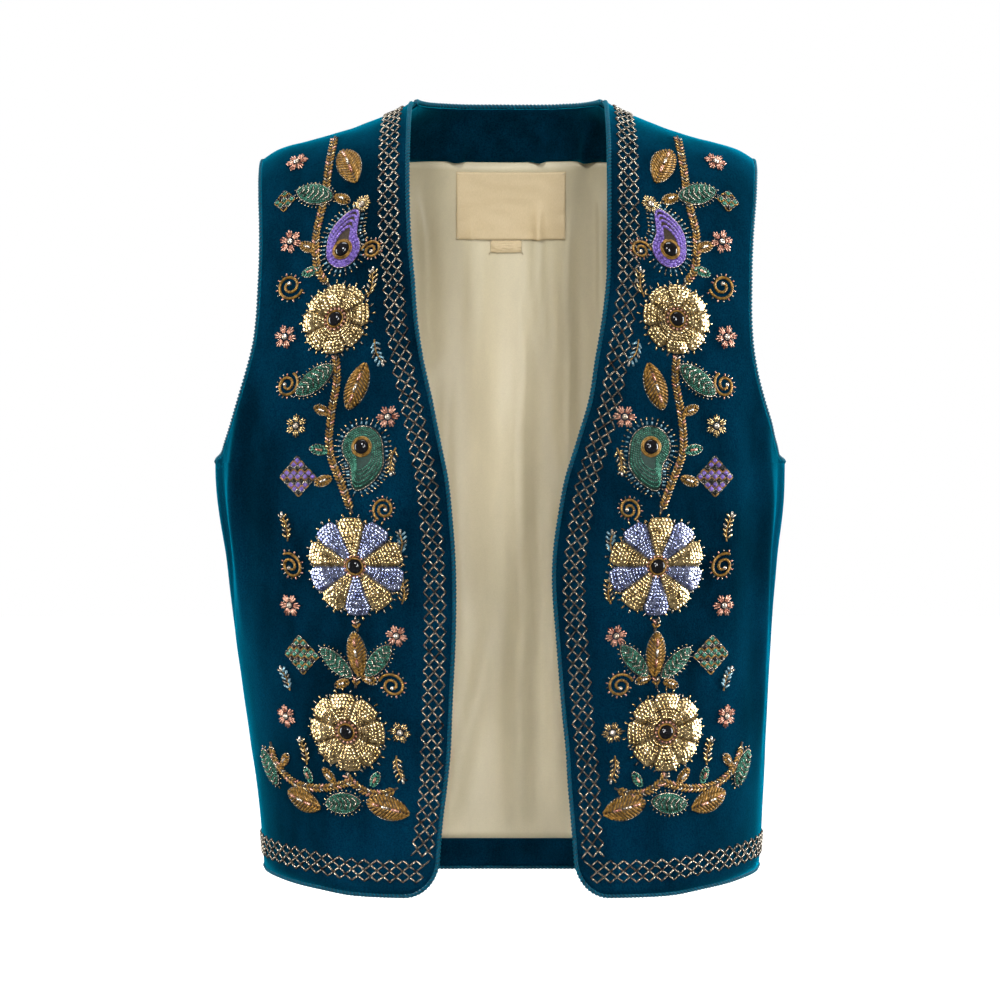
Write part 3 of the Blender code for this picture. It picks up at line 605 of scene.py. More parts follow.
# Each material's short name, name, dark and light colour, roughness, metallic, grain, bump, depth, stretch
MATERIALS = {short: make_material(*values) for short, *values in (
    ("velvet", "velvet_pile", (0.0002, 0.008, 0.02), (0.0005, 0.019, 0.039), 0.85, 0, 900, 0.5, PILE),
    ("facing", "velvet_facing_pile", (0.0002, 0.008, 0.019), (0.0005, 0.019, 0.038), 0.85, 0, 900, 0.5, PILE),
    # The grooves' material is a darker copy of the corded silk: painted shade for the grooves between a
    # cord's strands
    ("groove", "cord_groove", (0.0004, 0.014, 0.028), (0.001, 0.030, 0.055), 0.8, 0, 1500, 0.2),
    ("corded", "corded_silk", (0.0004, 0.036, 0.070), (0.001, 0.092, 0.148), 0.6, 0, 1500, 0.3),
    ("satin", "cream_satin", (0.575, 0.510, 0.350), (0.615, 0.545, 0.372), 0.45, 0, 1200, 0.08),
    ("label", "label_satin", (0.6, 0.475, 0.285), (0.66, 0.525, 0.32), 0.6, 0, 2200, 0.12, WEAVE, UPRIGHT),
    ("thread", "cream_thread", (0.42, 0.34, 0.22), (0.60, 0.50, 0.34), 0.6, 0, 2500, 0.3),
    ("gold", "gold_sequin", (0.20, 0.130, 0.045), (0.76, 0.58, 0.30), 0.24, 0.85, 300, 0.05),
    ("lilac", "lilac_sequin", (0.08, 0.095, 0.21), (0.43, 0.47, 0.66), 0.24, 0.8, 300, 0.05),
    ("violet", "violet_satin", (0.055, 0.030, 0.19), (0.25, 0.15, 0.58), 0.35, 0, 500, 0.2),
    # Umber is the real colour of the outline threads and stem cores, and also of the dark pad under stitches
    # and sequins, which paints shade into the gaps between them
    ("umber", "umber_thread", (0.012, 0.007, 0.003), (0.050, 0.028, 0.010), 0.6, 0, 900, 0.3),
    # Pine is a dark green pad under the green beads, which paints shade into the gaps between them
    ("pine", "pine_thread", (0.002, 0.016, 0.012), (0.006, 0.050, 0.034), 0.6, 0, 900, 0.3),
    ("bronze", "bronze_thread", (0.090, 0.045, 0.006), (0.42, 0.220, 0.038), 0.36, 0.45, 420, 0.4),
    ("pewter", "pewter_bugle", (0.022, 0.018, 0.016), (0.46, 0.410, 0.325), 0.22, 0.75, 190, 0.02),
    ("rose", "rose_bugle", (0.22, 0.060, 0.035), (0.86, 0.480, 0.340), 0.2, 0.5, 240, 0.02),
    ("red", "dark_seed", (0.030, 0.014, 0.006), (0.200, 0.080, 0.035), 0.25, 0.4, 500, 0.02),
    ("green", "green_seed", (0.004, 0.040, 0.026), (0.070, 0.300, 0.200), 0.22, 0.3, 380, 0.02),
    ("turquoise", "turquoise_bugle", (0.020, 0.060, 0.090), (0.280, 0.480, 0.560), 0.22, 0.4, 260, 0.02),
    ("crystal", "crystal", (0.40, 0.31, 0.22), (0.98, 0.90, 0.78), 0.08, 0.7, 300, 0.02),
    ("stone", "black_stone", (0.0025, 0.0025, 0.003), (0.008, 0.008, 0.010), 0.08, 0, 300, 0.02),
)}
# Soft patches: on the velvet and its facing, brushed pile tone with painted sheen; on the satin, faint random
# streaks
add_patches("velvet", 18, (1, 1, 0.5), 0.60, 1.55)
add_patches("facing", 40, (1, 1, 1), 0.75, 1.4)
add_patches("satin", 14, (1.6, 1.6, 0.4), 0.90, 1.05)
for name, tint in (("velvet", (0, 0.27, 0.42, 1)), ("facing", (0, 0.30, 0.45, 1))):
    set_shader(name, Sheen_Weight=1, Sheen_Roughness=0.36, Sheen_Tint=tint, Specular_IOR_Level=0)
set_shader("corded", Sheen_Weight=0.3, Sheen_Tint=(0, 0.5, 0.6, 1), Specular_IOR_Level=0.05)
set_shader("satin", Sheen_Weight=0.15, Sheen_Roughness=0.3, Specular_IOR_Level=0.4)
set_shader("stone", Coat_Weight=0.25, Coat_Roughness=0.03, Specular_IOR_Level=0.25)


def fine_relief(base):
    """The soft unevenness of the worn velvet, with a furrow along the side seams."""
    soft = noise.noise(Vector((base.x * 34, base.y * 34, base.z * 9)))
    small = noise.noise(Vector((base.x * 95, base.y * 95 + 7, base.z * 40)))
    furrow = math.exp(-((base.y / FURROW_HALF_WIDTH) ** 2))
    return SOFT_WAVES * soft + SMALL_WAVES * small - FURROW_DEPTH * furrow


def cloth_frame(face, angle, rise, corner=0.0):
    """(a point of the velvet's outer face, the outward normal there)."""
    base = form_point(face, angle, rise, corner)
    normal = form_normal(face, angle, rise, corner)
    relief = fold_relief(face, angle, base.z) + fine_relief(base)
    return base + normal * relief, normal


def step_on(face, angle, rise, move):
    """The (angle, rise) reached by moving along the form by a vector, in a few straight steps."""
    reach, steps = 0.004, 3
    part = move / steps
    for _ in range(steps):
        turn, climb = (way / (2 * reach) for way in form_steps(face, angle, rise, reach))
        a, b, c = turn.dot(turn), turn.dot(climb), climb.dot(climb)
        p, q = turn.dot(part), climb.dot(part)
        size = a * c - b * b
        angle, rise = angle + (p * c - q * b) / size, rise + (q * a - p * b) / size
    return angle, rise


class Work:
    """Gathers the parts of one piece's mesh, each with its own material, given by its short name."""

    def __init__(self):
        self.points, self.faces, self.slots, self.materials = [], [], [], []

    def slot_of(self, material):
        if material not in self.materials:
            self.materials.append(material)
        return self.materials.index(material)

    def face(self, face, material, start=0):
        """Adds a face between points that are there, numbered from start."""
        self.slots.append(self.slot_of(material))
        self.faces.append([i + start for i in face])

    def add(self, points, faces, material):
        """Adds points, and faces that are numbered from the first of them, and gives that one's number."""
        start = len(self.points)
        self.slot_of(material)
        self.points.extend(points)
        for face in faces:
            self.face(face, material, start)
        return start

    def piece(self, name, slot, replaces=()):
        mesh = bpy.data.meshes.new(name)
        mesh.from_pydata([tuple(p) for p in self.points], [], self.faces)
        for material in self.materials:
            mesh.materials.append(MATERIALS[material])
        mesh.polygons.foreach_set("material_index", self.slots)
        mesh.polygons.foreach_set("use_smooth", [True] * len(self.faces))
        mesh.update()
        piece = bpy.data.objects.new(name, mesh)
        bpy.context.scene.collection.objects.link(piece)
        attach(piece, "root")
        if replaces:
            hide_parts(*replaces)
        return piece


def turns(count, shift=0.0):
    """Angles spread evenly over a full turn. shift, a share of a step, moves them all."""
    return [2 * pi * (k + shift) / count for k in range(count)]


def polar(reach, turn):
    return reach * cos(turn), reach * sin(turn)


def circle(normal, sides, shift=0.0):
    """Unit vectors square to a normal, spread evenly round it."""
    x = normal.orthogonal().normalized()
    y = normal.cross(x)
    return [x * cos(t) + y * sin(t) for t in turns(sides, shift)]


def rod(work, a, b, radius, material, sides=6):
    """A short tube bead from a to b."""
    around = [p * radius for p in circle((b - a).normalized(), sides)]
    points = [a + p for p in around] + [b + p for p in around]
    faces = [(k, (k + 1) % sides, sides + (k + 1) % sides, sides + k) for k in range(sides)]
    faces += [tuple(range(sides))[::-1], tuple(range(sides, 2 * sides))]
    work.add(points, faces, material)


def ball(work, centre, radius, material, normal, sides=6, squash=0.85):
    """A small round bead, flatter along its normal."""
    pole = normal * radius * squash
    points = [centre + pole]
    for level, shift in ((0.5, 0.0), (-0.5, 0.5)):
        reach = radius * sqrt(1 - level * level)
        points += [centre + pole * level + p * reach for p in circle(normal, sides, shift)]
    points.append(centre - pole)
    last = 2 * sides + 1
    faces = []
    for k in range(sides):
        j = (k + 1) % sides
        faces += [(0, 1 + k, 1 + j), (1 + k, 1 + sides + k, 1 + j), (1 + j, 1 + sides + k, 1 + sides + j)]
        faces.append((last, 1 + sides + j, 1 + sides + k))
    work.add(points, faces, material)


def sequin(work, centre, normal, radius, material, sides=8):
    """A thin cupped disc."""
    thick, cup = normal * SEQUIN_THICK, normal * SEQUIN_CUP
    rim = [centre + p * radius for p in circle(normal, sides)]
    points = [centre - cup] + rim + [centre - cup - thick] + [p - thick for p in rim]
    under = sides + 1
    faces = []
    for k in range(sides):
        j = (k + 1) % sides
        faces += [(0, 1 + k, 1 + j), (under, under + 1 + j, under + 1 + k)]
        faces.append((1 + k, under + 1 + k, under + 1 + j, 1 + j))
    work.add(points, faces, material)


def beside(points, i, span, closed):
    """The points that lie span places before and after one, up to the ends of an open line."""
    if closed:
        return points[i - span], points[(i + span) % len(points)]
    return points[max(i - span, 0)], points[min(i + span, len(points) - 1)]


def tube(work, points, normals, radius, material, sides=8, closed=False, twist=None, groove=None):
    """A round cord through points. twist, the length of one turn of its two strands, gives it their grooves.

    The material for the grooves, a darker copy of the cord's own that paints shade into them, is given for a
    cord along an edge, whose open ends are cut square to the seam."""
    count = len(points)
    ring_points, phases, travelled = [], [], 0.0
    for i, (point, normal) in enumerate(zip(points, normals)):
        before, after = beside(points, i, 1, closed)
        tangent = (after - before).normalized()
        if groove and not closed and i in (0, count - 1):
            tangent = Vector((0.0, math.copysign(1.0, tangent.y), 0.0))
        side = tangent.cross(normal).normalized()
        up = side.cross(tangent)
        travelled += (point - points[i - 1]).length if i else 0.0
        for turn in turns(sides):
            reach, phase = radius, 0.0
            if twist:
                phase = turn - 2 * pi * travelled / twist
                aside = STRAND_OFFSET * sin(phase)
                reach *= STRAND_OFFSET * abs(cos(phase)) + sqrt(STRAND_RADIUS**2 - aside**2)
            phases.append(phase)
            ring_points.append(point + (up * cos(turn) + side * sin(turn)) * reach)
    start = work.add(ring_points, [], material)
    for i in range(count if closed else count - 1):
        near, far = i * sides, (i + 1) % count * sides
        for k in range(sides):
            j = (k + 1) % sides
            # Faces deep in a groove between the strands take the darker material, as painted shade
            in_groove_shade = groove and abs(cos(phases[near + k] + pi / sides)) < 0.5
            work.face((near + k, near + j, far + j, far + k), groove if in_groove_shade else material, start)
    if not closed:
        work.face(range(sides)[::-1], material, start)
        work.face([(count - 1) * sides + k for k in range(sides)], material, start)


def lengths_along(line):
    """The length of a line up to each of its points."""
    return np.concatenate([[0], np.cumsum(np.linalg.norm(np.diff(line, axis=0), axis=1))])


def smooth_path(points, step):
    """Points a step apart along a smooth curve through the given ones."""
    line = [np.array(p) for p in points]
    dense = []
    for i in range(len(line) - 1):
        a, b = line[max(i - 1, 0)], line[i]
        c, d = line[i + 1], line[min(i + 2, len(line) - 1)]
        square, cube = 2 * a - 5 * b + 4 * c - d, 3 * b - a - 3 * c + d
        for t in np.linspace(0, 1, 12, endpoint=False):
            dense.append(0.5 * (2 * b + (c - a) * t + square * t**2 + cube * t**3))
    dense = np.array(dense + [line[-1]])
    lengths = lengths_along(dense)
    at = np.linspace(0, lengths[-1], max(2, round(lengths[-1] / step)))
    return np.stack([np.interp(at, lengths, dense[:, k]) for k in range(dense.shape[1])], axis=1)


def spread(first, last, count):
    return [first + (last - first) * k / count for k in range(count + 1)]


def rim_pairs(wide, tall):
    """The neighbours round the edge of a grid of points."""
    loop = list(range(wide)) + [r * wide + wide - 1 for r in range(1, tall)]
    loop += [(tall - 1) * wide + c for c in range(wide - 2, -1, -1)]
    loop += [r * wide for r in range(tall - 2, 0, -1)]
    return zip(loop, loop[1:] + loop[:1])


def shell(name, panel, columns, rows, depth, thickness, skin, slot, node, waves=None, inside=None):
    """A thin sheet of cloth over a range of a panel, from a depth inwards.

    waves gives how far a point is pushed inwards besides, and inside the inner face's material at a place."""
    points, facing = [], []
    for level in (depth, depth + thickness):
        for row in rows:
            for column in columns:
                point, normal = cloth_frame(panel.face, *panel.place(column, row))
                push = waves(point) if waves else 0.0
                points.append(point - normal * (level + push))
                facing.append(normal)
    wide, tall = len(columns), len(rows)
    under = wide * tall
    outwards = (points[1] - points[0]).cross(points[wide] - points[0]).dot(facing[0]) >= 0
    way = 1 if outwards else -1
    work = Work()
    work.add(points, [], skin)
    for r in range(tall - 1):
        for c in range(wide - 1):
            a = r * wide + c
            face = (a, a + 1, a + wide + 1, a + wide)[::way]
            middle = (columns[c] + columns[c + 1]) / 2, (rows[r] + rows[r + 1]) / 2
            work.face(face, skin)
            work.face(face[::-1], inside(*middle) if inside else skin, under)
    for a, b in rim_pairs(wide, tall):
        work.face((b, a, under + a, under + b)[::way], skin)
    return work.piece(name, slot, [node])


def crease_relief(creases, x, height):
    """How far creases lift a layer at a place seen from the front."""
    total = 0.0
    for crease in creases:
        t = (crease.top - height) / (crease.top - crease.bottom)
        if -CREASE_RUN_OUT < t < 1 + CREASE_RUN_OUT:
            middle = crease.top_x + (crease.bottom_x - crease.top_x) * t
            middle += CREASE_WANDER * noise.noise(Vector((0.0, crease.top_x * 50, height * 14)))
            fade = sin(pi * (t + CREASE_RUN_OUT) / (1 + 2 * CREASE_RUN_OUT)) ** 0.7
            total += crease.height * fade * math.exp(-(((x - middle) / crease.half_width) ** 2))
    return total


def lining_waves(point):
    """The satin lining's soft upright creases, and the puckers of its middle seam, inwards."""
    x, height = point.x, point.z
    inside = smooth((height - LINING_HEM) / 0.03) * smooth((LINING_TOP - height) / 0.05)
    inside *= smooth((LINING_SIDES - abs(x)) / 0.05)
    soft = 0.5 + 0.5 * noise.noise(Vector((x * 22, height * 6, 3.0)))
    seam = math.exp(-(((x - LINING_SEAM_X) / LINING_SEAM_HALF_WIDTH) ** 2))
    seam *= smooth((LINING_SEAM_TOP - height) / 0.05)
    pucker = seam * (0.0010 + 0.0026 * noise.noise(Vector((x * 190, height * 110, 5.0))))
    return inside * (LINING_SWELL * soft + crease_relief(LINING_CREASES, x, height) + pucker)


def facing_waves(point):
    return crease_relief(FACING_CREASES, point.x, point.z)


def cord(name, stops, node, closed=False):
    """A cord just outside an edge. stops are (panel, column, row), with the cloth on their left."""
    edge = []
    for panel, column, row in stops:
        point, normal = cloth_frame(panel.face, *panel.place(column, row))
        edge.append((*(point - normal * VELVET / 2), *normal))
    joined = smooth_path(edge + edge[:1], CORD_STEP)[:-1] if closed else smooth_path(edge, CORD_STEP)
    points = [Vector(row[:3]) for row in joined]
    normals = [Vector(row[3:]).normalized() for row in joined]
    centres, span = [], 3
    for i, (point, normal) in enumerate(zip(points, normals)):
        before, after = beside(points, i, span, closed)
        out = (after - before).cross(normal).normalized()
        if not closed and i in (0, len(points) - 1):
            out = Vector((out.x, 0.0, out.z)).normalized()
        centres.append(point + out * CORD_REACH)
    work = Work()
    tube(work, centres, normals, CORD_RADIUS, "corded", 8, closed, CORD_TWIST, "groove")
    work.piece(name, "teal_cord", [node])


class Ground:
    """The velvet under one motif. A place on it is (u, v, height): metres along the cloth, and off it.

    With no turn u points away from the centre line and v up, so that the two sides are mirrored. A turn, in
    degrees, takes u toward v."""

    def __init__(self, side, info, work=None):
        self.side, self.info, self.work = side, info, work or Work()
        self.angle, self.rise = spot(FRONT, side * info.distance, info.height)
        self.step = 0.01
        across, up = form_steps(FRONT, self.angle, self.rise, self.step)
        self.across, self.up = across.length, up.length
        self.cosine, self.sine = cos(math.radians(info.turn)), sin(math.radians(info.turn))

    def frame(self, u, v, height=0.0):
        """(a point over the velvet, the velvet's normal)."""
        along_x, along_z = self.side * (u * self.cosine - v * self.sine), u * self.sine + v * self.cosine
        angle = self.angle + along_x * 2 * self.step / self.across
        rise = self.rise + along_z * 2 * self.step / self.up
        point, normal = cloth_frame(FRONT, angle, rise)
        return point + normal * height, normal

    def point(self, u, v, height=0.0):
        return self.frame(u, v, height)[0]

    def rod(self, near, far, radius, material):
        rod(self.work, self.point(*near), self.point(*far), radius, material)

    def ball(self, u, v, height, radius, material, sides=6, squash=0.85):
        point, normal = self.frame(u, v, height)
        ball(self.work, point, radius, material, normal, sides, squash)

    def piece(self, prefix, slot, stem=""):
        """Ends an applique's piece, which takes the place of its solid or of the stone's solid."""
        name = f"{self.info.name}_{SIDE_NAMES[self.side]}"
        self.work.piece(f"{prefix}_{name}", slot, [stem + name])


def pad(ground, outline, profile, base, material):
    """A padded shape. profile lists (share of the way to the rim, height) from the middle out."""
    middle = ground.point(0.0, 0.0, base + profile[0][1])
    loops = []
    for share, height in (*profile[1:], (1.0, 0.0)):
        loops.append([ground.point(u, v, base + height) for u, v in scaled(outline, share)])
    count = len(outline)
    points = [middle] + [p for loop in loops for p in loop] + [ground.point(0.0, 0.0, base)]
    last = len(points) - 1
    clockwise = (loops[0][1] - loops[0][0]).cross(middle - loops[0][0]).dot(ground.frame(0.0, 0.0)[1]) < 0
    faces = []
    for k in range(count):
        j = (k + 1) % count
        faces.append((0, 1 + k, 1 + j))
        for level in range(len(loops) - 1):
            a, b = 1 + level * count, 1 + (level + 1) * count
            faces.append((a + k, b + k, b + j, a + j))
        a = 1 + (len(loops) - 1) * count
        faces.append((last, a + j, a + k))
    ground.work.add(points, [face[::-1] for face in faces] if clockwise else faces, material)


def profile_height(profile, share):
    """The padding's height at a share of the way to the rim."""
    for (near, low), (far, high) in zip(profile, profile[1:]):
        if share <= far:
            return low + (high - low) * (share - near) / (far - near)
    return profile[-1][1]


def scaled(outline, share):
    return [(u * share, v * share) for u, v in outline]


def resampled(outline, step):
    """(u, v) points a step apart round a closed outline."""
    loop = np.array(list(outline) + [outline[0]])
    lengths = lengths_along(loop)
    at = np.linspace(0, lengths[-1], max(6, round(lengths[-1] / step)), endpoint=False)
    return [(np.interp(a, lengths, loop[:, 0]), np.interp(a, lengths, loop[:, 1])) for a in at]


def thread_ring(ground, outline, height, radius, material):
    """A closed couched thread round an outline."""
    points, normals = zip(*[ground.frame(u, v, height) for u, v in resampled(outline, 0.0006)])
    tube(ground.work, points, normals, radius, material, 6, True, THREAD_TWIST)


def bugle_ring(ground, outline, height, material="pewter", length=0.0030, radius=0.0006):
    """Bugle beads laid end to end round an outline."""
    stops = [ground.point(u, v, height) for u, v in resampled(outline, length)]
    for a, b in zip(stops, stops[1:] + stops[:1]):
        gap = (b - a) * RING_GAP
        rod(ground.work, a + gap, b - gap, radius, material)


def halo(ground, outline, near, far, pitch, materials, radius=0.0007):
    """Short bugles standing out all round an outline, from near to far metres beyond it."""
    rim = resampled(outline, pitch)
    for k, (u, v) in enumerate(rim):
        (u0, v0), (u1, v1) = beside(rim, k, 1, True)
        size = math.hypot(u1 - u0, v1 - v0)
        out_u, out_v = (v1 - v0) / size, -(u1 - u0) / size
        ends = [(u + out_u * reach, v + out_v * reach, radius) for reach in (near, far)]
        ground.rod(*ends, radius, materials[k % len(materials)])


def daisy_rim(radius, petals):
    """A round outline with a rounded end to each petal."""
    rim = []
    for turn in turns(12 * petals):
        rim.append(polar(radius * (0.80 + 0.20 * abs(cos(petals * turn / 2)) ** 0.7), turn))
    return rim


def leaf_half_width(length, width, u):
    return width / 2 * sqrt(max(0.0, 1 - (2 * u / length) ** 2)) ** 1.4


def leaf_rim(length, width):
    return [(length / 2 * cos(turn), width / 2 * sin(turn) * abs(sin(turn)) ** 0.4) for turn in turns(40)]


def paisley_rim(radius):
    """A round outline drawn out to a point along u, which bends toward v."""
    rim = []
    for turn in turns(48):
        u, v = polar(radius * (1 + 1.3 * max(0.0, cos(turn)) ** 5), turn)
        rim.append((u, v + 0.55 * max(0.0, u / radius - 0.4) ** 2 * radius / 2))
    return rim


def ring(radius, steps=24):
    return [polar(radius, turn) for turn in turns(steps)]


def cabochon(side, info, base):
    """A domed black stone in a ring of bronze thread."""
    ground = Ground(side, info)
    dome = [(0.0, STONE_RIM + STONE_DOME)]
    for share in (0.25, 0.45, 0.62, 0.78, 0.90, 0.97, 1.0):
        dome.append((share, STONE_RIM + STONE_DOME * sqrt(max(0.0, 1 - share**2))))
    pad(ground, ring(STONE_RADIUS, 32), dome, base, "stone")
    thread_ring(ground, ring(STONE_RADIUS + 0.0005), base + 0.0008, 0.0008, "bronze")
    ground.piece("cabochon", "black_stone", "stone_")


def sequins_over(ground, places, height_at, material_at):
    """Overlapping sequins. places are (u, v, du, dv), where (du, dv) is the way out from the middle."""
    reach = 0.0012
    for index, (u, v, du, dv) in enumerate(places):
        point, normal = ground.frame(u, v, height_at(u, v))
        beyond = u + du * reach, v + dv * reach
        aside = u - dv * reach, v + du * reach
        out = ground.point(*beyond, height_at(*beyond)) - point
        across = ground.point(*aside, height_at(*aside)) - point
        facing = out.cross(across)
        facing *= math.copysign(1.0, facing.dot(normal)) / facing.length
        wobble = 0.16 * noise.noise(Vector((u * 900, v * 900, index * 0.37)))
        facing = facing + out.normalized() * (SEQUIN_TILT + wobble) + across.normalized() * wobble
        sequin(ground.work, point + normal * 0.0004, facing.normalized(), SEQUIN_RADIUS, material_at(u, v))


def daisy(side, info):
    """A rosette of domed, sequinned petals with a stone in the middle and a halo of short bugles."""
    ground = Ground(side, info)
    rim = daisy_rim(info.radius, info.petals)
    # The dark pad shows between the sequins and the petals as painted shade
    pad(ground, rim, DAISY_PROFILE, APPLIQUE_BASE, "umber")
    places = []
    turn_of = 2 * pi / info.petals
    for petal in range(info.petals):
        reach, row = info.radius - 0.0016, 0
        while reach > STONE_RADIUS + 0.0018:
            narrow = min(1.0, sqrt(max(0.1, (1.06 - reach / info.radius) * 5)))
            half = max(0.0, reach * turn_of * 0.46 * narrow - 0.0016)
            count = round(2 * half / 0.0030) + 1 + (row % 2 if half > 0.0015 else 0)
            for turn in petal * turn_of + np.linspace(-half, half, count) / reach * (count > 1):
                places.append((*polar(reach, turn), *polar(1, turn)))
            reach -= 0.0023
            row += 1

    def height_at(u, v):
        share = min(1.0, math.hypot(u, v) / info.radius)
        across = abs((math.atan2(v, u) / turn_of + 0.5) % 1.0 - 0.5) * 2
        return APPLIQUE_BASE + profile_height(DAISY_PROFILE, share) * (1.5 - 0.45 * across**2)

    def material_at(u, v):
        petal = round(math.atan2(v, u) / turn_of) % info.petals
        return "lilac" if info.material == "lilac" and petal % 2 else "gold"

    sequins_over(ground, places, height_at, material_at)
    thread_ring(ground, rim, APPLIQUE_BASE + 0.0006, 0.0007, "umber")
    halo(ground, rim, 0.0018, 0.0046, 0.0042, ["gold", "pewter"])
    middle = APPLIQUE_BASE + DAISY_PROFILE[0][1]
    for turn in turns(16):
        ground.ball(*polar(STONE_RADIUS + 0.0021, turn), middle + 0.0010, 0.0010, "rose")
    ground.piece("sequin", info.material + "_sequins")
    cabochon(side, info, middle + GAP)


def stitches(ground, length, width, height_at, material, step=0.0024, radius=0.00085):
    """Satin stitches that slant from a leaf's midrib out to its rim."""
    slant = length * 0.18
    for u in np.arange(-length / 2 + slant * 0.8, length / 2 + slant * 0.5, step):
        out = min(u, length / 2 - 0.0003)
        for way in (-1, 1):
            v = way * (leaf_half_width(length, width, out) + 0.0006)
            stops = [(u - slant, way * 0.0004), ((u - slant + out) / 2, v * 0.55), (out, v)]
            first, bend, last = [ground.point(a, b, height_at(a, b)) for a, b in stops]
            rod(ground.work, first, bend, radius, material)
            rod(ground.work, bend, last, radius * 0.9, material)


def leaf(side, info):
    """A padded leaf, satin-stitched in bronze thread or filled with green beads."""
    ground = Ground(side, info)
    length, width = info.length, info.width
    rim, bronze = leaf_rim(length, width), info.material == "bronze"
    # The dark pad shows between the stitches or the beads as painted shade
    pad(ground, rim, LEAF_PROFILE, APPLIQUE_BASE, "umber" if bronze else "pine")

    def height_at(u, v):
        room = leaf_half_width(length, width, u)
        share = max(abs(2 * u / length), abs(v) / room if room > 0 else 1.0)
        return APPLIQUE_BASE + profile_height(LEAF_PROFILE, min(1.0, share))

    def over(u, v, lift):
        return u, v, height_at(u, v) + lift

    if bronze:
        stitches(ground, length, width, height_at, "bronze")
        for k, material in enumerate(("rose", "crystal", "rose")):
            u = length * (-0.30 + 0.24 * k)
            ground.rod(over(u, 0.0, 0.0011), over(u + length * 0.17, 0.0, 0.0011), 0.0010, material)
        bugle_ring(ground, leaf_rim(length * 1.05, width * 1.14), 0.0006, length=0.0026)
    else:
        for row in range(6):
            for u, v in resampled(scaled(rim, 0.88 - 0.145 * row), 2.2 * SEED_RADIUS):
                ground.ball(*over(u, v, 0.0005), SEED_RADIUS, "green")
        for k in range(6):
            u = length * (-0.40 + 0.13 * k)
            tip = u + length * 0.09
            for way in (-1, 1):
                v = way * min(leaf_half_width(length, width, tip) * 0.66, width * 0.34)
                ground.rod(over(u, 0.0, 0.0012), over(tip, v, 0.0012), 0.0006, "pewter")
        bugle_ring(ground, rim, APPLIQUE_BASE + 0.0006)
        halo(ground, rim, 0.0010, 0.0024, 0.0030, ["pewter", "gold"], 0.0005)
    ground.piece("stitched", "bronze_thread" if bronze else "green_beads")


def paisley(side, info):
    """A drop filled with satin stitch or beads, with a stone in its round end and two halos of bugles."""
    ground = Ground(side, info)
    rim = paisley_rim(info.radius)
    lilac = info.material == "lilac"
    # The dark pad shows between the stitches or the beads as painted shade
    pad(ground, rim, PAISLEY_PROFILE, APPLIQUE_BASE, "umber" if lilac else "pine")
    for share in (0.55, 0.69, 0.82, 0.94) if lilac else (0.50, 0.60, 0.70, 0.80, 0.90):
        loop, height = scaled(rim, share), APPLIQUE_BASE + profile_height(PAISLEY_PROFILE, share)
        if lilac:
            bugle_ring(ground, loop, height, "violet", 0.0031, 0.0010)
        else:
            for u, v in resampled(loop, 2.1 * SEED_RADIUS):
                ground.ball(u, v, height + 0.0004, SEED_RADIUS, "green")
    bugle_ring(ground, rim, APPLIQUE_BASE + 0.0006)
    halo(ground, rim, 0.0012, 0.0034, 0.0030, ["turquoise", "turquoise", "pewter"])
    halo(ground, rim, 0.0042, 0.0062, 0.0030, ["gold", "pewter"], 0.0006)
    thread_ring(ground, ring(STONE_RADIUS + 0.0016), APPLIQUE_BASE + 0.0024, 0.0008, "bronze")
    ground.piece("beaded", "lilac_sequins" if lilac else "green_beads")
    cabochon(side, info, APPLIQUE_BASE + PAISLEY_PROFILE[0][1] + GAP)


def stem(work, side, stops):
    """A stem of short bugles laid in pairs, like an ear of wheat, along a smooth course on the velvet."""
    line = smooth_path([(s.distance, s.height) for s in stops], 0.0008)
    frames = [cloth_frame(FRONT, *spot(FRONT, side * distance, height)) for distance, height in line]
    points = [point + normal * 0.0005 for point, normal in frames]
    normals = [normal for _, normal in frames]
    tube(work, points, normals, 0.0009, "umber", 6)
    colours = ("bronze", "pewter", "bronze", "bronze", "rose", "bronze", "gold", "bronze")
    for k in range(4, len(line) - 3, 3):
        forward = (points[k + 1] - points[k - 1]).normalized()
        across = forward.cross(normals[k]).normalized()
        for way in (-1, 1):
            near = points[k] + across * way * 0.0004 + normals[k] * 0.0006
            far = points[k] - forward * 0.0026 + across * way * 0.0027 + normals[k] * 0.0003
            rod(work, near, far, 0.00078, colours[(k // 3 + 3 * (way > 0)) % len(colours)])


def star(ground, info):
    """Six petals of three bugles each round a crystal."""
    near = info.size * 0.34
    for turn in turns(6):
        c, s = cos(turn), sin(turn)
        for shift, reach in ((-0.0010, 0.84), (0.0, 0.98), (0.0010, 0.84)):
            ends = []
            for r in (near, info.size * reach):
                aside = shift * r / near * 0.75
                ends.append((c * r - s * aside, s * r + c * aside, 0.0008))
            ground.rod(*ends, 0.00062, info.material)
    for turn in turns(6, 0.5):
        ground.ball(*polar(info.size * 0.62, turn), 0.0006, SEED_RADIUS, "pewter")
    ground.ball(0.0, 0.0, 0.0013, 0.0024, "crystal", 8, 0.6)


def tendril(ground, info):
    """A curl of couched thread, with short bugles along its outer turn."""
    points, normals = [], []
    for t in np.linspace(0.0, 1.0, 110):
        turn = 1.7 * 2 * pi * t
        reach = info.size * (1 - 0.80 * t)
        point, normal = ground.frame(reach * cos(turn), reach * sin(turn) * 0.9, 0.0008)
        points.append(point)
        normals.append(normal)
    tube(ground.work, points, normals, 0.00115, info.material, twist=0.0034)
    centre = ground.point(0.0, 0.0, 0.0008)
    for k in range(2, 62, 4):
        out = (points[k] - centre).normalized()
        ends = [points[k] + out * reach for reach in (0.0013, 0.0030)]
        rod(ground.work, *ends, 0.00058, "rose" if k % 8 == 2 else "pewter")
    ball(ground.work, points[-1] + normals[-1] * 0.0006, 0.0016, "crystal", normals[-1], 8)


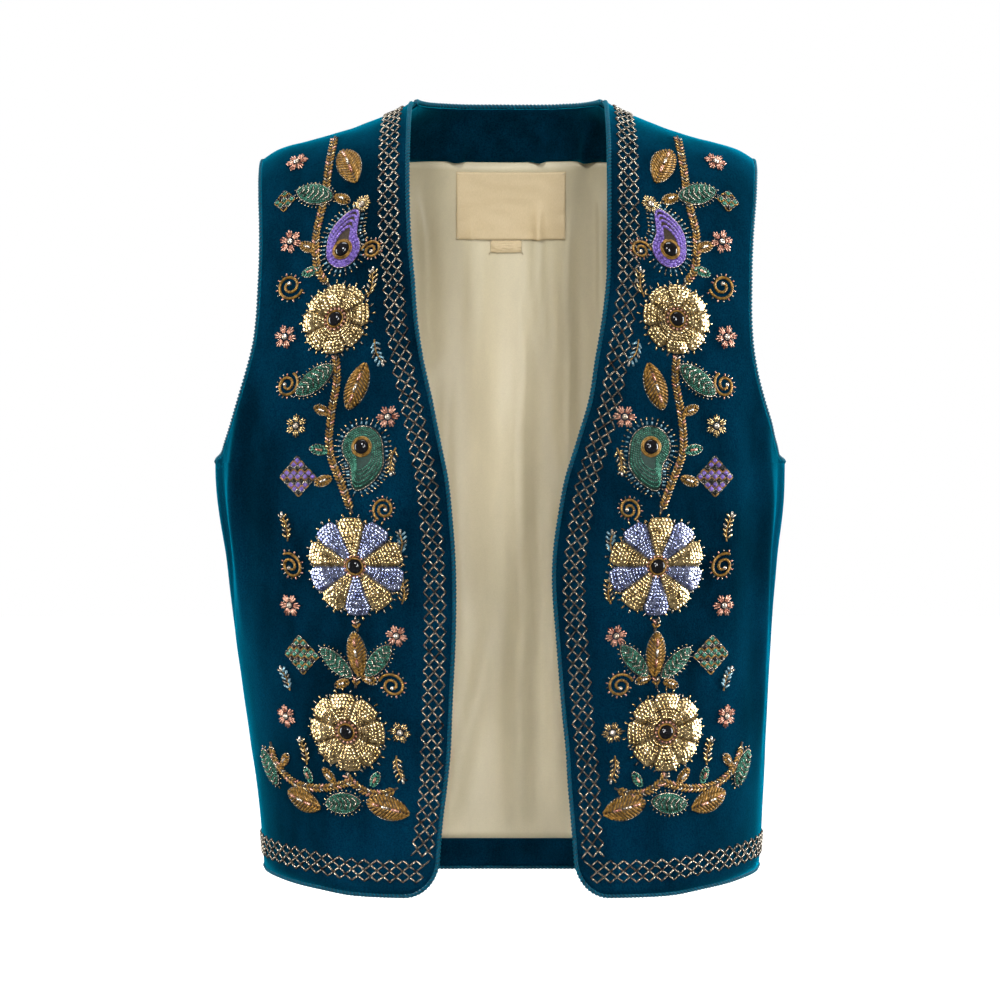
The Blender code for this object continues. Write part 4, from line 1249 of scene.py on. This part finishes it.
def sprig(ground, info):
    """A thin stalk with pairs of long bead leaves."""
    half = info.size / 2
    stops = [(t, 0.10 * info.size * sin(pi * (t / info.size + 0.5))) for t in np.linspace(-half, half, 40)]
    points, normals = zip(*[ground.frame(u, v, 0.0005) for u, v in stops])
    tube(ground.work, points, normals, 0.0007, "bronze", 6, twist=0.0024)
    for k in range(5):
        u, v = stops[4 + 8 * k]
        for way in (-1, 1):
            c, s = cos(math.radians(42)), way * sin(math.radians(42))
            ends = [(u + c * r, v + s * r, 0.0009) for r in (0.0011, 0.0050)]
            ground.rod(*ends, 0.00085, info.material if (k + way) % 3 else "pewter")
    ground.rod((half + 0.0006, 0.0, 0.0009), (half + 0.0042, 0.0, 0.0009), 0.0009, "crystal")


def leaflet(ground, info):
    """A small satin-stitched leaf that lies flat on the velvet, with one long bead."""
    size, wide = info.size, info.size * 0.46

    def height_at(u, v):
        return 0.0012 - 0.0006 * abs(v) / wide * 2

    stitches(ground, size, wide, height_at, info.material, 0.0021, 0.0008)
    bead = "crystal" if info.material == "bronze" else "rose"
    ground.rod((-size * 0.24, 0.0, 0.0021), (size * 0.14, 0.0, 0.0021), 0.0009, bead)
    bugle_ring(ground, leaf_rim(size * 1.10, wide * 1.26), 0.0005, "pewter", 0.0026, 0.00055)


def mosaic(ground, info):
    """A lozenge of square glass beads, each in a frame of bugles."""
    pitch = 0.0040
    cells = round(info.size * 1.30 / pitch)
    start = -cells * pitch / 2
    for r in range(cells):
        for c in range(cells):
            u, v = start + (c + 0.5) * pitch, start + (r + 0.5) * pitch
            point, normal = ground.frame(u, v, 0.0009)
            x = (ground.point(u + 0.001, v) - ground.point(u, v)).normalized()
            y = normal.cross(x)
            corners = [(x * a + y * b) for a, b in ((-1, -1), (1, -1), (1, 1), (-1, 1))]
            points = [point - normal * 0.0008 + k * 0.0013 for k in corners]
            points += [point + normal * 0.0001 + k * 0.0013 for k in corners]
            points += [point + normal * 0.0006 + k * 0.0007 for k in corners]
            faces = [(8, 9, 10, 11)]
            for low in (0, 4):
                faces += [(low + k, low + (k + 1) % 4, low + 4 + (k + 1) % 4, low + 4 + k) for k in range(4)]
            ground.work.add(points, faces, info.material if (r + c) % 3 else "stone")
    for line in range(cells + 1):
        fixed = start + line * pitch
        for k in range(cells):
            a, b = start + k * pitch + 0.0004, start + (k + 1) * pitch - 0.0004
            bugle = "pewter" if (k + line) % 2 else "bronze"
            ground.rod((a, fixed, 0.0006), (b, fixed, 0.0006), 0.0005, bugle)
            ground.rod((fixed, a, 0.0006), (fixed, b, 0.0006), 0.0005, bugle)


def course(face, ways):
    """The line over the form through (angle, rise) places, and the length up to each of its points."""
    line = [form_point(face, *way) for way in ways]
    lengths = [0.0]
    for a, b in zip(line, line[1:]):
        lengths.append(lengths[-1] + (b - a).length)
    return line, lengths


def lattice(work, face, starts, from_edge, kept=None):
    """A net that grows inwards from an edge: bugles between its crossings, and a seed bead at each.

    starts are (angle, rise, way in) along the edge. kept(i, j) says which crossings it has."""
    crossings = {}
    for i, (angle, rise, inward) in enumerate(starts):
        for j in range(i % 2, LATTICE_COLUMNS + 1, 2):
            there = step_on(face, angle, rise, inward * (from_edge + j * LATTICE_HALF_WIDTH))
            if kept is None or kept(i, j):
                crossings[i, j] = cloth_frame(face, *there)
    for (i, j), (point, normal) in crossings.items():
        ball(work, point + normal * 0.0005, 0.0006, "red", normal)
        for following in ((i + 1, j - 1), (i + 1, j + 1)):
            if following in crossings:
                other, other_normal = crossings[following]
                a, b = point + normal * BUGLE_RADIUS, other + other_normal * BUGLE_RADIUS
                gap = (b - a) * LATTICE_GAP
                rod(work, a + gap, b - gap, BUGLE_RADIUS, "pewter")


def edge_lattice(work, side):
    """The net along a front edge, from the top of the hem's net to the shoulder seam."""
    ways = [FRONTS[side].place(0, row)[:2] for row in spread(0, TOP_ROW, 260)]
    line, lengths = course(FRONT, ways)
    first = LATTICE_FROM_HEM + LATTICE_COLUMNS * LATTICE_HALF_WIDTH + 0.0015
    count = int((lengths[-1] - first - 0.002) / LATTICE_HALF_LENGTH)
    pitch = (lengths[-1] - first - 0.002) / count
    starts = []
    for i in range(count + 1):
        s = first + pitch * i
        angle, rise = (float(np.interp(s, lengths, [way[k] for way in ways])) for k in (0, 1))
        k = min(max(1, int(np.searchsorted(lengths, s))), len(line) - 2)
        tangent = (line[k + 1] - line[k - 1]).normalized()
        starts.append((angle, rise, tangent.cross(form_normal(FRONT, angle, rise)).normalized() * side))
    lattice(work, FRONT, starts, LATTICE_FROM_EDGE)


def hem_lattice(work, panel, last_column):
    """The net along a panel's hem. It follows a front's rounded corner."""
    ways = [(panel.place(column, 0)[0], 0.0) for column in spread(0, last_column, 240)]
    _, lengths = course(panel.face, ways)
    start = LATTICE_FROM_EDGE if panel.face == FRONT else 0.003
    room = lengths[-1] - start - 0.003
    count = round(room / LATTICE_HALF_LENGTH)
    places = [start + room * i / count for i in range(count + 1)]
    angles = [float(np.interp(s, lengths, [way[0] for way in ways])) for s in places]

    def kept(i, j):
        s, up = places[i], LATTICE_FROM_HEM + j * LATTICE_HALF_WIDTH
        from_corner = math.hypot(HEM_CORNER_RADIUS - s, HEM_CORNER_RADIUS - up)
        in_corner = panel.face == FRONT and s < HEM_CORNER_RADIUS and up < HEM_CORNER_RADIUS
        return not in_corner or from_corner < HEM_CORNER_RADIUS - 0.0040

    upwards = Vector((0.0, 0.0, 1.0))
    lattice(work, panel.face, [(angle, 0.0, upwards) for angle in angles], LATTICE_FROM_HEM, kept)


def patch(name, x, top, width, height, slot, node):
    """A woven label on the lining, blank, with soft puckers and a few stitches at its corners."""
    depth = FIRST_LAYER + LINING + GAP
    columns, rows = 48, 30
    points = []
    for layer in (depth, depth + LABEL):
        for r in range(rows + 1):
            for c in range(columns + 1):
                angle, rise = spot(BACK, x + width * (c / columns - 0.5), top - height + height * r / rows)
                point, normal = cloth_frame(BACK, angle, rise)
                bow = sin(pi * c / columns) + sin(pi * r / rows)
                pucker = 0.0011 * bow + 0.0006 * noise.noise(Vector((c * 0.12, r * 0.22, 4.0)))
                points.append(point - normal * (layer + lining_waves(point) + 0.0006 + pucker))
    wide, under = columns + 1, (columns + 1) * (rows + 1)
    work = Work()
    work.add(points, [], "label")
    for r in range(rows):
        for c in range(columns):
            a = r * wide + c
            work.face((a, a + wide, a + wide + 1, a + 1), "label")
            work.face((a, a + 1, a + wide + 1, a + wide), "label", under)
    for r, c in ((1, 1), (1, columns - 1), (rows - 1, 1), (rows - 1, columns - 1)):
        corner = points[under + r * wide + c]
        raised = Vector((0, -0.0002, 0))
        for k in range(3):
            way_x, way_z = 1 if c > 1 else -1, 1 if r > 1 else -1
            lean = Vector((0.0016 * way_x, 0.0, 0.0016 * way_z * (0.4 + 0.4 * k)))
            rod(work, corner - lean * 0.3 + raised, corner + lean + raised, 0.00022, "thread", 5)
    for a, b in rim_pairs(wide, rows + 1):
        work.face((a, b, under + b, under + a), "label")
    return work.piece(name, slot, [node])


# The share of a row between two inner layers, and how far the fronts' velvet is turned in
SEAM = 0.012
TURNING_COLUMNS = CORNER_COLUMNS + 0.6
TURNING_ROWS = 0.9


def front_inside(column, row):
    return "facing" if column < TURNING_COLUMNS or row < TURNING_ROWS else "satin"


# The velvet: two fronts and a back, then the back's inner layers
rows = spread(0, ARMPIT_ROW, 60) + spread(ARMPIT_ROW, TOP_ROW, 62)[1:]
lining_rows = spread(1 + SEAM, YOKE_ROW - SEAM, 100)
neck_rows = spread(YOKE_ROW + SEAM, TOP_ROW, 20)
hem_rows = spread(0, 1 - SEAM, 8)
front_columns = spread(0, CORNER_COLUMNS, 14) + spread(CORNER_COLUMNS, FRONT_COLUMNS, 42)[1:]
columns = spread(0, BACK_COLUMNS, 96)
sheets = [
    shell(f"velvet_front_{SIDE_NAMES[side]}", FRONTS[side], front_columns, rows, 0.0, VELVET, "velvet",
          "teal_velvet", f"front_{SIDE_NAMES[side]}", inside=front_inside)
    for side in (LEFT, RIGHT)
] + [
    shell("velvet_back", REAR, columns, rows, 0.0, VELVET, "velvet", "teal_velvet", "back"),
    shell("satin_lining", REAR, columns, lining_rows, FIRST_LAYER, LINING, "satin", "cream_satin", "lining",
          lining_waves),
    shell("velvet_neck_facing", REAR, columns, neck_rows, FIRST_LAYER, FACING, "facing", "teal_velvet",
          "neck_facing", facing_waves),
    shell("velvet_hem_facing", REAR, columns, hem_rows, FIRST_LAYER, FACING, "facing", "teal_velvet",
          "hem_facing"),
    patch("woven_label", 0.0039, -0.0235, 0.083, 0.0500, "beige_satin", "label"),
    patch("woven_size_tag", 0.0001, -0.0739, 0.0235, 0.0090, "beige_satin", "size_tag"),
]

# The cords along the edges, each with the cloth on the left of its course
for side in (LEFT, RIGHT):
    suffix, front = SIDE_NAMES[side], FRONTS[side]
    edging = [(front, column, 0) for column in spread(FRONT_COLUMNS, 0, 60)]
    edging += [(front, 0, row) for row in spread(0, TOP_ROW, 130)[1:]]
    cord(f"cord_front_{suffix}", edging[::-side], f"piping_front_{suffix}")
    armhole = [(front, FRONT_COLUMNS, row) for row in spread(TOP_ROW, ARMPIT_ROW, 60)]
    seam_column = 0 if side == LEFT else BACK_COLUMNS
    armhole += [(REAR, seam_column, row) for row in spread(ARMPIT_ROW, TOP_ROW, 60)[1:-1]]
    cord(f"cord_armhole_{suffix}", armhole[::-side], f"piping_armhole_{suffix}", True)
middle = BACK_COLUMNS // 2
neckline = [(REAR, column, TOP_ROW) for column in spread(middle - NECK_COLUMNS, middle + NECK_COLUMNS, 48)]
cord("cord_neck", neckline, "piping_neck")
cord("cord_back_hem", [(REAR, column, 0) for column in spread(BACK_COLUMNS, 0, 90)], "piping_back_hem")

# The embroidery, mirrored on the two fronts
for side in (LEFT, RIGHT):
    suffix = SIDE_NAMES[side]
    net = Work()
    edge_lattice(net, side)
    hem_lattice(net, FRONTS[side], FRONT_COLUMNS)
    net.piece(f"bugle_net_{suffix}", "bronze_thread")
    for make, infos in ((leaf, LEAVES), (daisy, DAISIES), (paisley, PAISLEYS)):
        for info in infos:
            make(side, info)
    vines = Work()
    for stops in STEMS:
        stem(vines, side, stops)
    vines.piece(f"stems_{suffix}", "bronze_thread")
    scattered = Work()
    motifs = (star, STARS), (tendril, TENDRILS), (sprig, SPRIGS), (leaflet, LEAFLETS), (mosaic, MOSAICS)
    for draw, infos in motifs:
        for info in infos:
            draw(Ground(side, info, scattered), info)
    scattered.piece(f"small_beading_{suffix}", "gold_sequins")
net = Work()
hem_lattice(net, REAR, BACK_COLUMNS)
net.piece("bugle_net_back", "bronze_thread")

# The studio: a round pale floor below the hanging garment, soft light from all round, a level camera
FLOOR_HEIGHT = -0.75
FLOOR_RADIUS = 14.0
FLOOR_GLOW = {"From Min": 0.7, "From Max": 2.2, "To Min": 0.40, "To Max": 1.0}
WHITE = (1.0, 1.0, 1.0, 1.0)


def pale_floor():
    """A disc of pale paper that glows, as painted light, more strongly towards its edge."""
    mesh = bpy.data.meshes.new("floor")
    rim = [(*polar(FLOOR_RADIUS, turn), FLOOR_HEIGHT) for turn in turns(96)]
    mesh.from_pydata(rim, [], [list(range(len(rim)))])
    paper = make_material("pale_paper", (0.86, 0.86, 0.86), (0.90, 0.90, 0.90), 0.9, 0, 60, 0.02)
    tree = paper.node_tree
    place = add_node(tree, "ShaderNodeTexCoord", {})
    reach = add_node(tree, "ShaderNodeVectorMath", {0: place.outputs["Object"]})
    reach.operation = "LENGTH"
    glow = add_node(tree, "ShaderNodeMapRange", {**FLOOR_GLOW, "Value": reach.outputs["Value"]})
    shader = tree.nodes["Principled BSDF"]
    feed(tree, shader, {"Emission Strength": glow.outputs["Result"], "Emission Color": WHITE})
    mesh.materials.append(paper)
    floor = bpy.data.objects.new("floor", mesh)
    bpy.context.scene.collection.objects.link(floor)
    floor.visible_diffuse = False
    floor.visible_glossy = False


def area_light(name, place, aim, width, height, power, cone=180):
    data = bpy.data.lights.new(name, "AREA")
    data.shape = "RECTANGLE"
    data.size, data.size_y = width, height
    data.energy = power
    data.spread = math.radians(cone)
    light = bpy.data.objects.new(name, data)
    light.location = place
    light.rotation_euler = (Vector(aim) - Vector(place)).to_track_quat("-Z", "Y").to_euler()
    bpy.context.scene.collection.objects.link(light)


def studio_world(seen, ambient):
    """A plain world. The camera sees it white, and it lights the object more weakly."""
    world = bpy.data.worlds.new("studio")
    world.use_nodes = True
    tree = world.node_tree
    path = add_node(tree, "ShaderNodeLightPath", {})
    inputs = {"To Min": ambient, "To Max": seen, "Value": path.outputs["Is Camera Ray"]}
    strength = add_node(tree, "ShaderNodeMapRange", inputs)
    feed(tree, tree.nodes["Background"], {"Color": WHITE, "Strength": strength.outputs["Result"]})
    bpy.context.scene.world = world


pale_floor()
studio_world(1.0, 0.18)
AIM = (0.0, 0.0, -0.27)
area_light("key", (-0.7, -3.1, 1.3), AIM, 0.6, 0.6, 52)
area_light("fill", (0.7, -3.2, 0.1), AIM, 0.5, 0.8, 40)
area_light("low", (0.0, -3.1, -0.45), (0.0, 0.0, -0.5), 0.4, 0.4, 0.34, cone=16)
area_light("glint", (0.5, -2.6, 0.6), AIM, 0.15, 0.15, 8)
area_light("top", (0.0, 0.1, 1.6), AIM, 1.2, 0.8, 32)
area_light("side_left", (-2.1, 0.0, -0.2), AIM, 0.5, 1.4, 42)
area_light("side_right", (2.1, 0.35, -0.1), AIM, 0.5, 1.4, 80)
area_light("back_left", (-1.7, 2.4, 0.9), AIM, 0.9, 1.2, 22)
area_light("back_right", (1.5, 2.5, 0.4), AIM, 0.9, 1.2, 26)
bpy.context.scene.view_settings.view_transform = "Standard"

LENS = 148.35
SENSOR_WIDTH = 36.0
CAMERA_PLACE = (-0.00437, -3.0, -0.2694)
camera = bpy.data.objects.new("camera", bpy.data.cameras.new("camera"))
camera.data.lens = LENS
camera.data.sensor_width = SENSOR_WIDTH
camera.data.clip_end = 50.0
camera.location = CAMERA_PLACE
camera.rotation_euler = (pi / 2, 0.0, 0.0)
bpy.context.scene.collection.objects.link(camera)
bpy.context.scene.camera = camera
